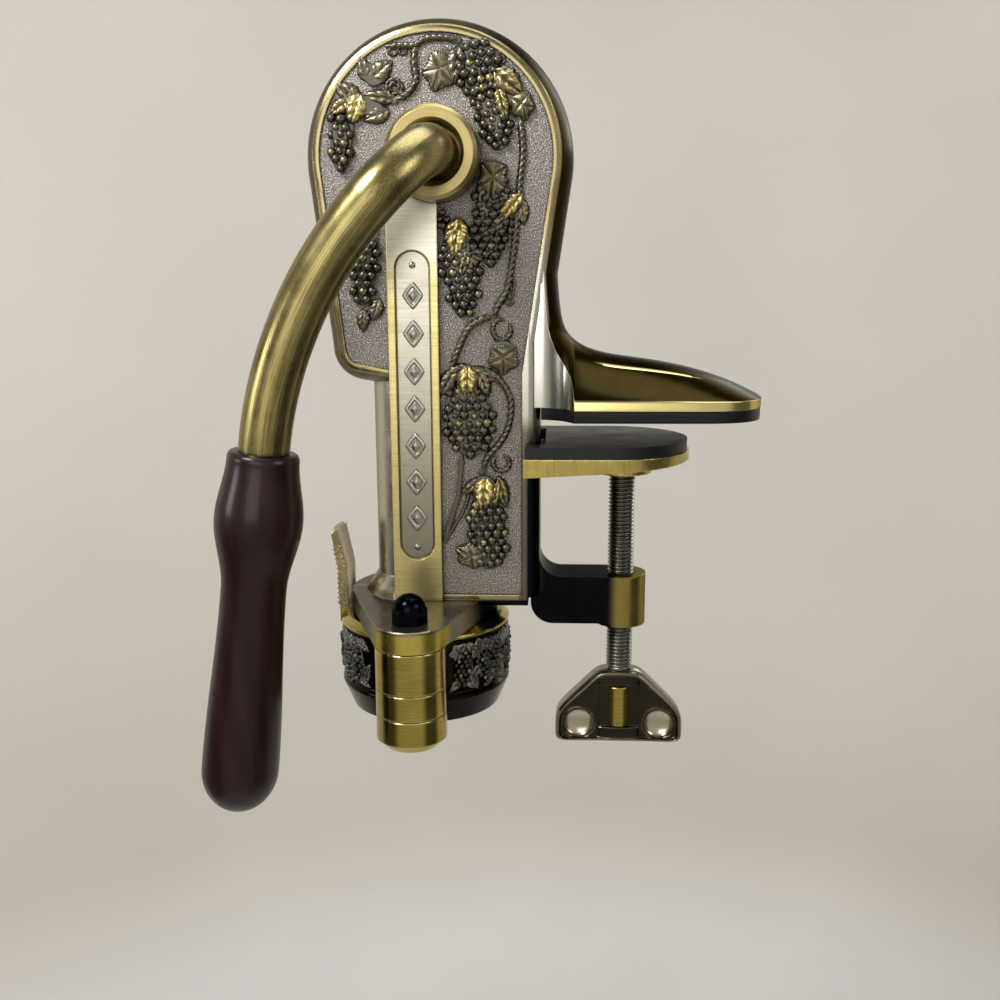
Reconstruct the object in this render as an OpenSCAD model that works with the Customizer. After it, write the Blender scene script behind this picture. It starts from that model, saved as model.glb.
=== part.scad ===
// Countertop corkscrew with a lever, a rack-driven worm, bottle jaws and a table clamp.
// The origin lies on the clamp screw's axis, on the underside of the upper rubber pad, where the counter starts.
// X runs back over the counter, Y away from the lever side, Z up.

/* [Body] */
// Distance from the clamp screw's axis forward to the worm's axis
worm_to_clamp = 90.5; // [88:0.5:100]
// Distance of the lever's axis behind the worm's axis
lever_back = 10.5; // [9.5:0.25:12]
// Height of the lever's axis above the counter
lever_z = 109; // [100:1:120]
// Radius of the head's flat side face
face_r = 51; // [50:0.5:56]
// Width of the body over its two rims
body_w = 45.6; // [45:0.2:52]
// Swell of the body's wall beyond its face, at the middle seam
wall_bulge = 6; // [4.5:0.5:8]
// Thickness of the wall behind the side panels
wall = 3; // [2.5:0.25:4]
// Width of the rim round a side panel
rim_w = 2.6; // [1.8:0.2:4]
// Depth of the side panel's face below its rim
field_drop = 0.8; // [0.4:0.1:1.2]
// Thickness of a side panel
panel_t = 1.5; // [1:0.1:1.8]
// Height of the relief's bunches over the panel's face
relief_h = 2.3; // [1.6:0.1:2.8]
// Distance from the clamp screw's axis to the spine's back
spine_to_clamp = 37; // [36:0.5:42]
// Radius of the spine's upright corners
spine_corner_r = 5; // [3:0.5:7]
// Reach of the chin's rounded corner ahead of the worm's axis
chin_ahead = 23; // [20:0.5:26]
// Height of the chin's corner above the counter
chin_z = 30.5; // [28:0.5:34]
// Radius of the chin's corner
chin_r = 9; // [7:0.5:10]
// Outer radius of the worm's tube
tube_r = 21; // [20:0.25:21.5]
// Bore radius of the worm's tube
tube_bore = 17; // [16.5:0.25:17.5]

/* [Strips and hub] */
// Width of the strip down each side
strip_w = 21.4; // [18:0.2:24]
// Height of the strip's face above the panel
strip_rise = 2.5; // [1.5:0.1:3.5]
// Width of the strip's long recess
recess_w = 15; // [10:0.5:16]
// Depth of that recess
recess_d = 0.9; // [0.5:0.1:1.5]
// Length of plain strip above and below the recess
recess_margin = 19; // [12:1:30]
// Outer radius of the lever's hub ring
hub_r = 18.4; // [16:0.2:21]
// Reach of the hub ring's face beyond the rim
hub_reach = 19; // [12:0.5:24]
// Radial gap between the lever's rod and the hub ring
hub_gap = 1.75; // [1.5:0.05:2.5]

/* [Lever and grip] */
// Radius of the lever's rod
rod_r = 10; // [9:0.25:10.5]
// Length of rod between the hub ring's face and the first bend
rod_lead = 6; // [4:0.5:14]
// Centre-line radius of the first bend
bend_r = 28; // [24:1:36]
// Slope of the lever below level where the first bend ends
lever_slope = 47; // [40:1:55]
// Centre-line radius of the long curve
sweep_r = 168; // [140:2:200]
// Angle through which the long curve turns
sweep_turn = 36; // [30:1:42]
// Length of the wooden grip
grip_len = 151; // [120:1:170]
// Radius of the grip at its upper end
grip_top_r = 13.3; // [12.5:0.1:15]
// Greatest radius of the grip's bulb
grip_bulb_r = 17.3; // [15:0.1:20]
// Radius of the grip's waist
grip_waist_r = 13.1; // [12:0.1:14.5]
// Radius of the grip near its lower end
grip_end_r = 15.8; // [14:0.1:18]
// Radius of the lever's tang inside the grip
tang_r = 6; // [5:0.25:7]
// Length of that tang
tang_len = 110; // [80:1:115]
// Angle through which the lever swings
lever_swing = 172; // [150:1:174]

/* [Gears and worm] */
// Gear module
gear_module = 2; // [1.9:0.05:2.05]
// Teeth on the whole circle of the lever's gear
lever_teeth = 44; // [44:1:44]
// Teeth on the idler's large gear
idler_teeth = 22; // [20:1:23]
// Teeth on the idler's pinion
pinion_teeth = 11; // [11:1:12]
// Pressure angle of the teeth
pressure_angle = 25; // [24:0.5:26]
// Play between meshing teeth
backlash = 0.4; // [0.3:0.05:0.6]
// Width of the lever's gear
gear_w = 7.5; // [6:0.25:8]
// Width of the rack
rack_w = 10; // [8:0.5:11]
// Radius of the idler's shaft
idler_shaft_r = 5; // [4:0.25:5.5]
// Radius of the lever's shaft where it passes the rack
shaft_r = 6; // [5:0.25:6.5]
// Outer radius of the worm
worm_r = 4.75; // [4.5:0.05:5.5]
// Radius of the worm's wire
wire_r = 1.6; // [1.4:0.05:1.8]
// Rise of the worm in one turn
worm_pitch = 11; // [10:0.25:12]
// Radius of the worm's shank
shank_r = 3; // [2.5:0.1:3.4]

/* [Flange and jaws] */
// Depth of the flange's top below the counter
flange_depth = 80.5; // [78:0.5:90]
// Thickness of the flange
flange_t = 9.5; // [8:0.25:11]
// Radius of the flange round the tube
flange_r = 33.5; // [31:0.25:34]
// Outer radius of the jaws' collar
collar_r = 39; // [37.5:0.25:41]
// Height of the jaws' collar
collar_h = 43; // [41:0.5:46]
// Radius of the bottle's neck inside the closed jaws
neck_r = 15; // [14:0.25:17]
// Radius of the hinge knuckles
knuckle_r = 15; // [13:0.25:16]
// Height of the front jaw's upper knuckle
upper_knuckle_h = 17.6; // [16:0.2:19]
// Height of the rear jaw's knuckle
middle_knuckle_h = 10.8; // [9:0.2:12]
// Height of the front jaw's lower knuckle
lower_knuckle_h = 10.8; // [9:0.2:12]
// Radius of the hinge bolt
hinge_bolt_r = 4; // [3:0.25:5]
// Height of the finger tabs above the flange
tab_rise = 28; // [20:1:32]
// Thickness of a finger tab
tab_t = 4; // [3:0.25:5]
// Angle that a finger tab spans round the collar
tab_span = 26; // [18:1:32]

/* [Foot and clamp] */
// Reach of the foot's tip behind the clamp screw's axis
foot_reach = 59; // [54:0.5:64]
// Width of the foot
foot_w = 69; // [66:0.5:74]
// Thickness of the upper pad
upper_pad_t = 5.4; // [4:0.2:6.5]
// Thickness of the foot's lip
lip_t = 3.7; // [3:0.1:5]
// Height of the foot's top over the counter, above the clamp screw
foot_h = 26.5; // [24:0.5:32]
// Gap between the two pads as shown
clamp_gap = 10; // [8:0.5:14]
// Thickness of the lower pad
lower_pad_t = 5; // [4:0.2:6]
// Thickness of the pressure plate at its fork
plate_t = 8; // [7:0.25:10]
// Thickness of the pressure plate at its tip
plate_tip_t = 4; // [3.5:0.1:5]
// Width of the pressure plate
plate_w = 71; // [69:0.5:74]
// Reach of the fork past the spine's back
fork_reach = 7; // [5:0.5:12]
// Radius of the plate's boss
boss_r = 13; // [11:0.25:15]
// Drop of the boss below the plate
boss_drop = 5; // [4:0.25:7]
// Radius of the clamp screw
screw_r = 6; // [5:0.25:7]
// Depth of the arm's top below the counter
arm_depth = 72.7; // [70:0.5:80]
// Height of the arm
arm_h = 21.7; // [18:0.5:26]
// Width of the arm, and of its round end
arm_w = 23; // [21:0.5:26]
// Distance from the arm's underside to the wing's top
wing_drop = 25; // [18:0.5:30]
// Height of the wing
wing_h = 35; // [33:0.5:40]
// Span of the wing
wing_span = 59; // [54:0.5:70]
// Thickness of the wing
wing_t = 12; // [11:0.25:14]

/* [Hidden] */
$fn = 64;

// Clearances
fit = 0.02;
run = 0.05;
loose = 0.3;
side_gap = 0.6;
far = 400;
// Step at which a belt's straight side leaves its circle, so that the two cross cleanly
belt_step = 0.02;

// Axes
worm_x = -worm_to_clamp;
lever_x = worm_x + lever_back;
spine_x = -spine_to_clamp;
lever_axis = [lever_x, lever_z];
flange_z = -flange_depth;
flange_bottom = flange_z - flange_t;

// Layers from the rim inwards, measured from the middle seam
half_w = body_w / 2;
field_y = half_w - field_drop;
floor_y = field_y - panel_t;
cavity_y = floor_y - wall;
strip_y = field_y + strip_rise;
hub_y = half_w + hub_reach;
bulge_r = (half_w * half_w + wall_bulge * wall_bulge) / (2 * wall_bulge);
rim_chamfer = 1.2;
core_inset = 3.7;
core_y = (half_w + floor_y) / 2;
edge_sink = 0.06;

// Outline of the body's side
chin = [worm_x - chin_ahead, chin_z];
throat_r = chin_r + 4.5;
throat = [worm_x, chin_z];
web_edge_x = spine_x - spine_corner_r;
nape_r = 10;
nape = [web_edge_x - nape_r, 20];

// Main masses of the relief. A bunch is a pear shape: middle and radius of its top, then of its tip.
// A leaf adds its height over the panel. A vine is a run of places.
// Those of the head are measured from the lever's axis, those of the web from the worm's axis at the counter.
head_bunches = [
    [[-38.7, 11], 5.2, [-39.4, -2], 3],
    [[18.4, 38], 8, [18, 29.5], 6],
    [[21.5, 21], 6.2, [26.8, 5.5], 3],
    [[23.8, -17], 8, [22.7, -40], 3.5],
    [[9.4, -39.5], 8, [11.2, -60], 3.5],
    [[-30.8, -34], 6, [-31.8, -57], 3]
];
web_bunches = [
    [[22.9, 4], 10.5, [23.8, -9], 6.5],
    [[30.3, -44], 8.2, [31.7, -60.5], 5.5]
];
head_leaves = [
    [[4.5, 36.5], 5, [2, 29.5], 3, 1.35],
    [[30, 29], 4.2, [33.5, 22], 3.4, 1.8],
    [[-33, 21.5], 4, [-23.5, 18.5], 2.6, 1.5],
    [[-24.5, 32], 4.2, [-29, 34.5], 2.5, 1.35],
    [[23.5, -6.5], 5, [23.7, -13], 4.4, 2],
    [[8.2, -29.5], 4.2, [8.5, -36], 4, 2.6]
];
web_leaves = [
    [[38.2, 29], 5, [38.1, 22.8], 2.2, 1.35],
    [[22.7, 18.5], 4.4, [22.6, 12], 4, 2.6],
    [[29.7, -28.5], 4.6, [29.5, -35], 4.1, 2.6],
    [[23.5, -60], 4, [26, -58], 3, 1.5]
];
head_vines = [
    [[-16, 43], [-8, 43.2], [-3.4, 45.6], [3, 46], [10, 45]],
    [[-7.8, 43], [-8.2, 35.8], [-8, 29.6], [-11, 25.2], [-16.5, 22]],
    [[34.8, 15], [35.8, 1.3], [34.6, -9.8], [33.3, -26.6], [31.4, -42.1], [29.1, -54.1], [25, -61], [23.4, -66.5]]
];
web_vines = [
    [[31, 43.3], [23.3, 39.1], [18.9, 30.6], [15.6, 23]],
    [[33.5, 20], [39.7, 12.4], [41.3, 5.5], [39.7, -3.8], [35.4, -11], [30.9, -16], [28.5, -22.5]],
    [[19.7, -18], [17.9, -34.4], [14, -46], [11.9, -53]]
];
vine_w = 2.2;
vine_h = 1;
bunch_step = 1.8;
relief_margin = 0.8;
web_round = 5;
web_drop = 3.5;

// Gear train
r_lever = gear_module * lever_teeth / 2;
r_idler = gear_module * idler_teeth / 2;
r_pinion = gear_module * pinion_teeth / 2;
addendum = 0.95 * gear_module;
dedendum = 1.25 * gear_module;
rack_line = worm_x + 1;
idler_x = rack_line + r_pinion;
idler_z = lever_z - sqrt(pow(r_lever + r_idler, 2) - pow(idler_x - lever_x, 2));
idler_axis = [idler_x, idler_z];
to_lever = atan2(lever_z - idler_z, lever_x - idler_x);
tooth_pitch = PI * gear_module;
travel = r_lever * r_pinion / r_idler * lever_swing * PI / 180;
gear_outer_y = cavity_y - side_gap;
gear_inner_y = gear_outer_y - gear_w;
sector_lead = 16;
idler_bore_r = idler_shaft_r + run;

// Rack and carriage, at the top of their travel
rack_back = rack_line - 8.5;
rack_tail = tooth_pitch;
rack_top = idler_z + travel + 1.2 * tooth_pitch;
carriage_top = idler_z - r_pinion - addendum - 0.6;
carriage_half = rack_w / 2 + 3.5;
carriage_r = tube_bore - 0.4;
bridge_t = 4;
clip_room = 6;
carriage_plate_t = 10;
plate_top = carriage_top - bridge_t - clip_room;
carriage_bottom = plate_top - carriage_plate_t;
bearing_r = 6.5;
clip_t = 1.5;
collar_r_worm = 5.5;
collar_t_worm = 5;

// Guide bush at the tube's foot, with its two pins in the worm's helix
bush_h = 26.5;
bush_bottom = flange_bottom;
bush_top = bush_bottom + bush_h;
guide_pin_r = 1.4;
guide_pin_z = bush_bottom + 18;
guide_bore = worm_r + 0.6;
pin_tip = worm_r - 2 * wire_r + 0.4;
helix_r = worm_r - wire_r;
worm_tip_z = bush_bottom + 12;
worm_top_z = carriage_bottom - collar_t_worm - loose;

// Lever
rod_bend_y = -hub_y - rod_lead;
grip_y = rod_bend_y - bend_r;
hub_bore = rod_r + hub_gap;
bush_out_y = half_w + 6;
key_w = 5;
key_in = 2;
key_out = 2.4;
gear_hub_r = rod_r + 7;
cap_rise = 4;
cap_edge = 2;

// Jaws
collar_top = flange_bottom - 0.8;
collar_bottom = collar_top - collar_h;
hinge_clear = 0.8;
hinge_y = -(collar_r + knuckle_r + hinge_clear);
jaw_gap = 0.8;
knuckle_gap = 0.4;
upper_top = flange_bottom - knuckle_gap;
upper_bottom = upper_top - upper_knuckle_h;
middle_top = upper_bottom - knuckle_gap;
middle_bottom = middle_top - middle_knuckle_h;
lower_top = middle_bottom - knuckle_gap;
lower_bottom = lower_top - lower_knuckle_h;
collar_bevel = 3;
band_h = 11;
band_taper = 4.5;
tab_in_r = flange_r + 2;
tab_top = flange_z + tab_rise;
tab_base = collar_top - collar_bevel - 2;
hook_h = 18;
hook_out = 3;
// Sunk ground of the collar's relief
ground_d = 1.6;
ground_rim = 1;
ground_top = collar_top - collar_bevel - ground_rim - ground_d;
ground_bottom = collar_bottom + band_h + ground_rim + ground_d;
bolt_head_h = 3;
nut_af = 13;
nut_hex_h = 6.5;

// Foot
lip_top = upper_pad_t + lip_t;
foot_len = foot_reach - spine_x - fit;
foot_tip_r = 46;
foot_blunt = 0.35;
foot_across = 8;
flare_r = 16.5;
flare_out = 4;
flare_len = flare_r - 2.5;
sweep_up = 31.4;
sweep_len = 15.4;
ridge_end = 0.1;
foot_top = foot_h + sweep_up;

// Clamp
lower_pad_top = -clamp_gap;
plate_top_z = lower_pad_top - lower_pad_t;
plate_bottom_z = plate_top_z - plate_t;
boss_bottom = plate_bottom_z - boss_drop + 2;
plate_front_x = spine_x + 1.5;
plate_end_r = plate_w / 2;
plate_end_x = -6;
fork_x = spine_x - fork_reach;
fork_in = half_w + 1.2;
journal_r = 4;
journal_top = plate_top_z - 0.6;
clip_pocket_r = 7.5;
clip_pocket_d = 3.6;
arm_top = -arm_depth;
arm_bottom = arm_top - arm_h;
arm_fillet = 10;
arm_root_x = spine_x - 4;
arm_boss_drop = 2;
wing_top = arm_bottom - wing_drop;
wing_bottom = wing_top - wing_h;
wing_flat = 23;
wing_end_r = 8.5;
sleeve_r = 6.2;
sleeve_top = wing_top - 8;
sleeve_bottom = wing_top - 27;
screw_end_r = 4.5;
screw_end_z = wing_bottom + 2;
wing_pin_r = 1.4;
wing_pin_z = sleeve_bottom - 3.3;
dimple_r = 14;
dimple_d = 2.2;

// Screws that join the two half castings, as [x, z, far-side seat]
screw_shank_r = 1.8;
screw_head_r = 3.4;
screw_head_h = 2.2;
screw_reach = 9;
screw_seats = [
    [chin[0], chin[1], floor_y],
    [web_edge_x - 9, -5, floor_y],
    [web_edge_x - 9, flange_z + 19, floor_y],
    [spine_x + 8, arm_top - arm_h / 2, arm_w / 2]
];

// Colours
brass = [0.66, 0.60, 0.34];
pewter = [0.44, 0.41, 0.38];
silver = [0.78, 0.77, 0.70];
steel = [0.40, 0.41, 0.42];
dark_steel = [0.20, 0.20, 0.21];
blued = [0.14, 0.16, 0.18];
rubber = [0.06, 0.06, 0.06];
mahogany = [0.20, 0.06, 0.06];

// A point at a distance and an angle
function polar(r, a) = [r * cos(a), r * sin(a)];

// The involute of an angle, in degrees
function involute(a) = tan(a) * 180 / PI - a;

// Half the angle that a tooth spans at a radius
function tooth_half(teeth, r_base, r) =
    90 / teeth + involute(pressure_angle) - involute(acos(min(1, r_base / r)))
    - backlash / (gear_module * teeth) * 90 / PI;

// One tooth's outline, centred on an angle, from its right root to its left root
function tooth(teeth, a) =
    let (
        r_pitch = gear_module * teeth / 2,
        r_base = r_pitch * cos(pressure_angle),
        r_root = r_pitch - dedendum,
        r_tip = r_pitch + addendum,
        r_low = max(r_base, r_root),
        radii = [for (i = [0:3]) r_low + (r_tip - r_low) * i / 3],
        root_half = tooth_half(teeth, r_base, r_low)
    )
    concat(
        [polar(r_root, a - root_half)],
        [for (r = radii) polar(r, a - tooth_half(teeth, r_base, r))],
        [for (i = [3:-1:0]) polar(radii[i], a + tooth_half(teeth, r_base, radii[i]))],
        [polar(r_root, a + root_half)]
    );

// A run of teeth from the tooth at a first angle
function teeth_run(teeth, first, count) =
    [for (k = [0:count - 1]) each tooth(teeth, first + k * 360 / teeth)];

// A flat outline in X and Z, made solid between two values of Y
module along_y(y0, y1) {
    translate([0, y1, 0]) rotate([90, 0, 0]) linear_extrude(y1 - y0) children();
}

// A round bar along Y about a point in X and Z
module bar_y(at, r, y0, y1) {
    translate([at[0], y1, at[1]]) rotate([90, 0, 0]) cylinder(r = r, h = y1 - y0);
}

// Two circles and the belt round them, whose straight sides start a hair past the tangent points
module belt(c1, r1, c2, r2) {
    way = c2 - c1;
    a = atan2(way[1], way[0]);
    s = acos((r1 - r2) / norm(way));
    lead1 = sqrt(2 * r1 * belt_step);
    lead2 = sqrt(2 * r2 * belt_step);
    side = [for (turn = [s, -s])
        let (along = polar(1, a + turn - sign(turn) * 90))
        [c1 + polar(r1, a + turn) + lead1 * along, c2 + polar(r2, a + turn) - lead2 * along]
    ];
    union() {
        translate(c1) circle(r1);
        translate(c2) circle(r2);
        polygon([c1, side[1][0], side[1][1], c2, side[0][1], side[0][0]]);
    }
}

// Half section of a swelling wall: from the middle seam to its face, with the outer edge chamfered
module wall_section(r, face = half_w) {
    intersection() {
        square([r + wall_bulge, face]);
        translate([r + wall_bulge - bulge_r, 0]) circle(bulge_r);
        polygon([
            [0, 0], [r + wall_bulge, 0], [r + wall_bulge, face - 2 * rim_chamfer],
            [r - rim_chamfer, face], [0, face]
        ]);
    }
}

// A disc with a swelling wall, on the lever's side of the seam
module swelling_disc(c, r) {
    translate([c[0], 0, c[1]]) rotate([90, 0, 0]) rotate_extrude() wall_section(r);
}

// A straight wall with the same swell between two tangent points, the outside on the right of the way.
// It lies a hair inside the discs' tangent and face, so that it crosses them cleanly.
module swelling_edge(from, to, depth) {
    way = to - from;
    translate([from[0], 0, from[1]]) rotate([0, atan2(way[0], way[1]), 0])
        linear_extrude(norm(way)) mirror([0, 1]) translate([-depth - edge_sink, 0])
            wall_section(depth, half_w - edge_sink);
}

// Side outline of the body, drawn in from its edge by a margin
module body_outline(inset) {
    belt(lever_axis, face_r - inset, chin, chin_r - inset);
    belt(chin, chin_r - inset, throat, throat_r - inset);
    belt(lever_axis, face_r - inset, nape, nape_r - inset);
    translate([worm_x, flange_z + inset])
        square([web_edge_x - inset - worm_x, lever_z - flange_z - inset]);
}

// Head, chin and nape, with their swelling wall
module head_half() {
    way = chin - lever_axis;
    front = atan2(way[1], way[0]) - acos((face_r - chin_r) / norm(way));
    low_way = throat - chin;
    low = atan2(low_way[1], low_way[0]) - acos((chin_r - throat_r) / norm(low_way));
    back_way = nape - lever_axis;
    back = atan2(back_way[1], back_way[0]) + acos((face_r - nape_r) / norm(back_way));
    swelling_disc(lever_axis, face_r);
    swelling_disc(chin, chin_r);
    swelling_edge(lever_axis + polar(face_r, front), chin + polar(chin_r, front), chin_r);
    swelling_edge(chin + polar(chin_r, low), throat + polar(throat_r, low), chin_r);
    swelling_edge(nape + polar(nape_r, back), lever_axis + polar(face_r, back), nape_r);
    along_y(-core_y, 0) belt(lever_axis, face_r - core_inset, chin, chin_r - core_inset);
    along_y(-core_y, 0) belt(chin, chin_r - core_inset, throat, throat_r - core_inset);
    along_y(-core_y, 0) belt(lever_axis, face_r - core_inset, nape, nape_r - core_inset);
}

// Plan section of the spine and web
module spine_plan(inset) {
    y = -half_w + inset;
    x = spine_x - inset;
    translate([worm_x, y]) square([x - spine_corner_r - worm_x, -y]);
    translate([x - spine_corner_r, y + spine_corner_r]) square([spine_corner_r, -y - spine_corner_r]);
    translate([x - spine_corner_r, y + spine_corner_r]) circle(spine_corner_r);
}

// Web and spine, rounded along the bottom
module web_half() {
    translate([0, 0, flange_z + web_round - web_drop])
        linear_extrude(lever_z - flange_z - web_round + web_drop) spine_plan(0);
    translate([0, 0, flange_z - web_drop]) linear_extrude(web_round) spine_plan(web_round);
    translate([worm_x, -half_w + web_round, flange_z + web_round - web_drop]) rotate([0, 90, 0])
        cylinder(r = web_round, h = web_edge_x - worm_x);
}

// Tube round the worm, the pilaster behind the strip, and the flare at the tube's foot
module tube_half() {
    flare_h = 9;
    flare_out = 6;
    translate([worm_x, 0, flange_z]) cylinder(r = tube_r, h = chin_z - flange_z);
    translate([worm_x - strip_w / 2, -floor_y, flange_z])
        cube([strip_w, floor_y, chin_z - flange_z]);
    intersection() {
        translate([worm_x, 0, flange_z]) cylinder(r1 = tube_r + flare_out, r2 = tube_r, h = flare_h);
        translate([worm_x - far, -far, flange_z]) cube([far - strip_w / 2, 2 * far, flare_h]);
    }
}

// Flange over the jaws, with the fixed knuckle on the lever's side
module flange(knuckle) {
    translate([0, 0, flange_bottom]) linear_extrude(flange_t)
        if (knuckle) belt([worm_x, hinge_y], knuckle_r, [worm_x, 0], flange_r);
        else translate([worm_x, 0]) circle(flange_r);
}

// Half the foot's width at a distance behind the spine: a hollow flare, parallel sides, a round tip
function foot_half(d) =
    let (
        flare = d + 2 < flare_r ? foot_w / 2 + flare_out - sqrt(flare_r * flare_r - pow(d + 2, 2)) : foot_w / 2,
        tip_at = d + spine_x - foot_reach + foot_tip_r,
        tip = tip_at > 0 ? sqrt(foot_tip_r * foot_tip_r - tip_at * tip_at) : foot_w / 2
    )
    min(foot_w / 2, flare, tip);

// Height of the foot's ridge: a long round nose and a sweep up the spine
function foot_ridge(d) =
    foot_h - (foot_h - lip_top - ridge_end) * pow(d / foot_len, 3) + sweep_up * exp(-pow(d / sweep_len, 1.5));

// Height of the foot's edge: it falls from the sweep's top to the lip along the flare
function foot_edge(d) =
    lip_top + (foot_top - 1 - lip_top) * pow(max(0, 1 - d / flare_len), 1.2);

// Points across the foot at a distance behind the spine, from the near edge over the ridge
function foot_ring(d) =
    let (
        half = foot_half(d),
        edge = foot_edge(d),
        crown = foot_ridge(d) - edge,
        x = spine_x + fit + d
    )
    concat(
        [[x, -half, upper_pad_t]],
        [for (k = [-foot_across:foot_across])
            let (t = k / foot_across)
            [x, t * half, edge + crown * pow(1 - t * t, 0.9)]],
        [[x, half, upper_pad_t]]
    );

module foot() {
    tip_d = foot_len - foot_tip_r * 0.3;
    steps = 6;
    stations = concat(
        [for (i = [0:steps - 1]) flare_len * sin(90 * i / steps)],
        [for (i = [0:steps - 1]) flare_len + (tip_d - flare_len) * i / steps],
        [for (i = [0:steps]) tip_d + (foot_len - foot_blunt - tip_d) * sin(90 * i / steps)]
    );
    side = 2 * foot_across + 3;
    rings = len(stations) - 1;
    points = [for (d = stations) each foot_ring(d)];
    skin = [for (i = [0:rings - 1]) for (k = [0:side - 1])
        let (a = i * side + k, b = i * side + (k + 1) % side)
        each [[a, b, b + side], [a, b + side, a + side]]
    ];
    ends = [for (k = [1:side - 2]) each [[0, k + 1, k], [rings * side, rings * side + k, rings * side + k + 1]]];
    color(brass) polyhedron(points, concat(skin, ends));
}

// Plan of the upper pad: the foot's outline drawn in by a margin
module pad_plan(inset) {
    half = foot_w / 2 - inset;
    start = spine_x + fit;
    intersection() {
        difference() {
            translate([start, -half]) square([foot_reach - inset - start, 2 * half]);
            for (s = [-1, 1])
                translate([spine_x - 2, s * (foot_w / 2 + flare_out)]) circle(flare_r + inset);
        }
        union() {
            translate([foot_reach - foot_tip_r, 0]) circle(foot_tip_r - inset);
            translate([start, -half]) square([foot_reach - foot_tip_r - start, 2 * half]);
        }
    }
}

// Arm that carries the clamp screw's thread
module arm() {
    along_y(-arm_w / 2, arm_w / 2) {
        difference() {
            translate([arm_root_x, arm_bottom]) square([-arm_root_x, arm_h]);
            translate([arm_root_x - fit, arm_bottom - fit]) difference() {
                square(arm_fillet);
                translate([arm_fillet + fit, arm_fillet + fit]) circle(arm_fillet);
            }
        }
        difference() {
            translate([spine_x - 1, arm_top - 1]) square(arm_fillet + 1);
            translate([spine_x + arm_fillet, arm_top + arm_fillet]) circle(arm_fillet);
        }
    }
    translate([0, 0, arm_bottom - arm_boss_drop]) cylinder(d = arm_w, h = arm_h + arm_boss_drop);
}

// Room for the gear train inside the body, on the lever's side of the seam
module gear_room() {
    room = 1.2;
    along_y(-cavity_y, fit) {
        translate(lever_axis) circle(r_lever + addendum + room);
        translate(idler_axis) circle(r_idler + addendum + room);
    }
    along_y(-carriage_half - 1, fit) translate([worm_x - tube_bore, carriage_bottom])
        square([2 * tube_bore, lever_z - carriage_bottom]);
    translate([worm_x, 0, flange_bottom - 1]) cylinder(r = tube_bore, h = carriage_top - flange_bottom);
}

// Shallow seat for the panel, the strip and the hub on one side
module side_seat() {
    along_y(-far, -floor_y) {
        body_outline(rim_w);
        translate([worm_x - strip_w / 2, flange_z]) square([strip_w, lever_z - flange_z]);
        translate(lever_axis) circle(hub_r + fit);
    }
}

// One half casting on the lever's side of the seam, before its own bores
module half_casting(knuckle) {
    difference() {
        union() {
            head_half();
            intersection() {
                union() {
                    web_half();
                    tube_half();
                    flange(knuckle);
                    arm();
                }
                translate([-far, -far, -far]) cube([2 * far, far, 2 * far]);
            }
        }
        gear_room();
        side_seat();
        translate([spine_x, -far, 0]) cube([far, 2 * far, foot_top + fit]);
        bar_y(idler_axis, idler_shaft_r + fit, -cavity_y - wall / 2, 0);
        translate([0, 0, -far]) cylinder(r = screw_r + run, h = far);
    }
}

module housing_right() {
    color(brass) difference() {
        half_casting(true);
        bar_y(lever_axis, hub_bore + fit, -far, 0);
        translate([worm_x, hinge_y, flange_bottom - 1]) cylinder(r = hinge_bolt_r + fit, h = flange_t + 2);
        for (s = screw_seats)
            bar_y([s[0], s[1]], screw_shank_r + fit, -screw_reach - 1, 0);
    }
}

module housing_left() {
    boss_in = gear_inner_y - gear_w / 2;
    color(brass) mirror([0, 1, 0]) difference() {
        union() {
            half_casting(false);
            bar_y(lever_axis, 2 * shaft_r, -floor_y, -boss_in);
            bar_y(idler_axis, idler_shaft_r + 3, -floor_y, -rack_w / 2 - 1);
        }
        bar_y(lever_axis, shaft_r + run, -far, 0);
        bar_y(idler_axis, idler_shaft_r + fit, -cavity_y - wall / 2, 0);
        for (s = screw_seats) {
            bar_y([s[0], s[1]], screw_shank_r + fit, -s[2] - 1, 0);
            bar_y([s[0], s[1]], screw_head_r + fit, -s[2] - 1, -s[2] + screw_head_h);
        }
    }
}

// Outline of a side's field round the strip and the hub, drawn in from its edges by a margin
module field_outline(inset) {
    difference() {
        body_outline(rim_w + inset);
        translate([worm_x - strip_w / 2 - inset, -far]) square([strip_w + 2 * inset, far + lever_z]);
        translate(lever_axis) circle(hub_r + 2 * inset);
    }
}

// One raised piece of the relief, from inside the panel to a height over its face
module raised(h) {
    along_y(-field_y - h, -field_y + panel_t / 2) children();
}

// A vine's run of bars with round joints
module vine_run(path) {
    for (i = [0 : len(path) - 2]) {
        way = path[i + 1] - path[i];
        translate(path[i]) rotate(atan2(way[1], way[0])) translate([0, -vine_w / 2]) square([norm(way), vine_w]);
    }
    for (at = path) translate(at) circle(vine_w / 2 + 0.2);
}

// The main masses of one part of the relief about its own origin, each bunch with a step up to its back
module relief_masses(at, bunches, leaves, vines) {
    for (b = bunches) {
        raised(relief_h / 2) belt(at + b[0], b[1], at + b[2], b[3]);
        raised(relief_h) belt(at + b[0], b[1] - bunch_step, at + b[2], b[3] - bunch_step);
    }
    for (l = leaves) raised(l[4]) belt(at + l[0], l[1], at + l[2], l[3]);
    for (v = vines) raised(vine_h) vine_run([for (p = v) at + p]);
}

// Decorated field of one side, with the main masses of its relief
module side_panel() {
    along_y(-field_y, -floor_y) field_outline(fit);
    intersection() {
        along_y(-far, -floor_y) field_outline(relief_margin);
        union() {
            relief_masses(lever_axis, head_bunches, head_leaves, head_vines);
            relief_masses([worm_x, 0], web_bunches, web_leaves, web_vines);
        }
    }
}

module panel_right() { color(pewter) side_panel(); }

module panel_left() { color(pewter) mirror([0, 1, 0]) side_panel(); }

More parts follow.
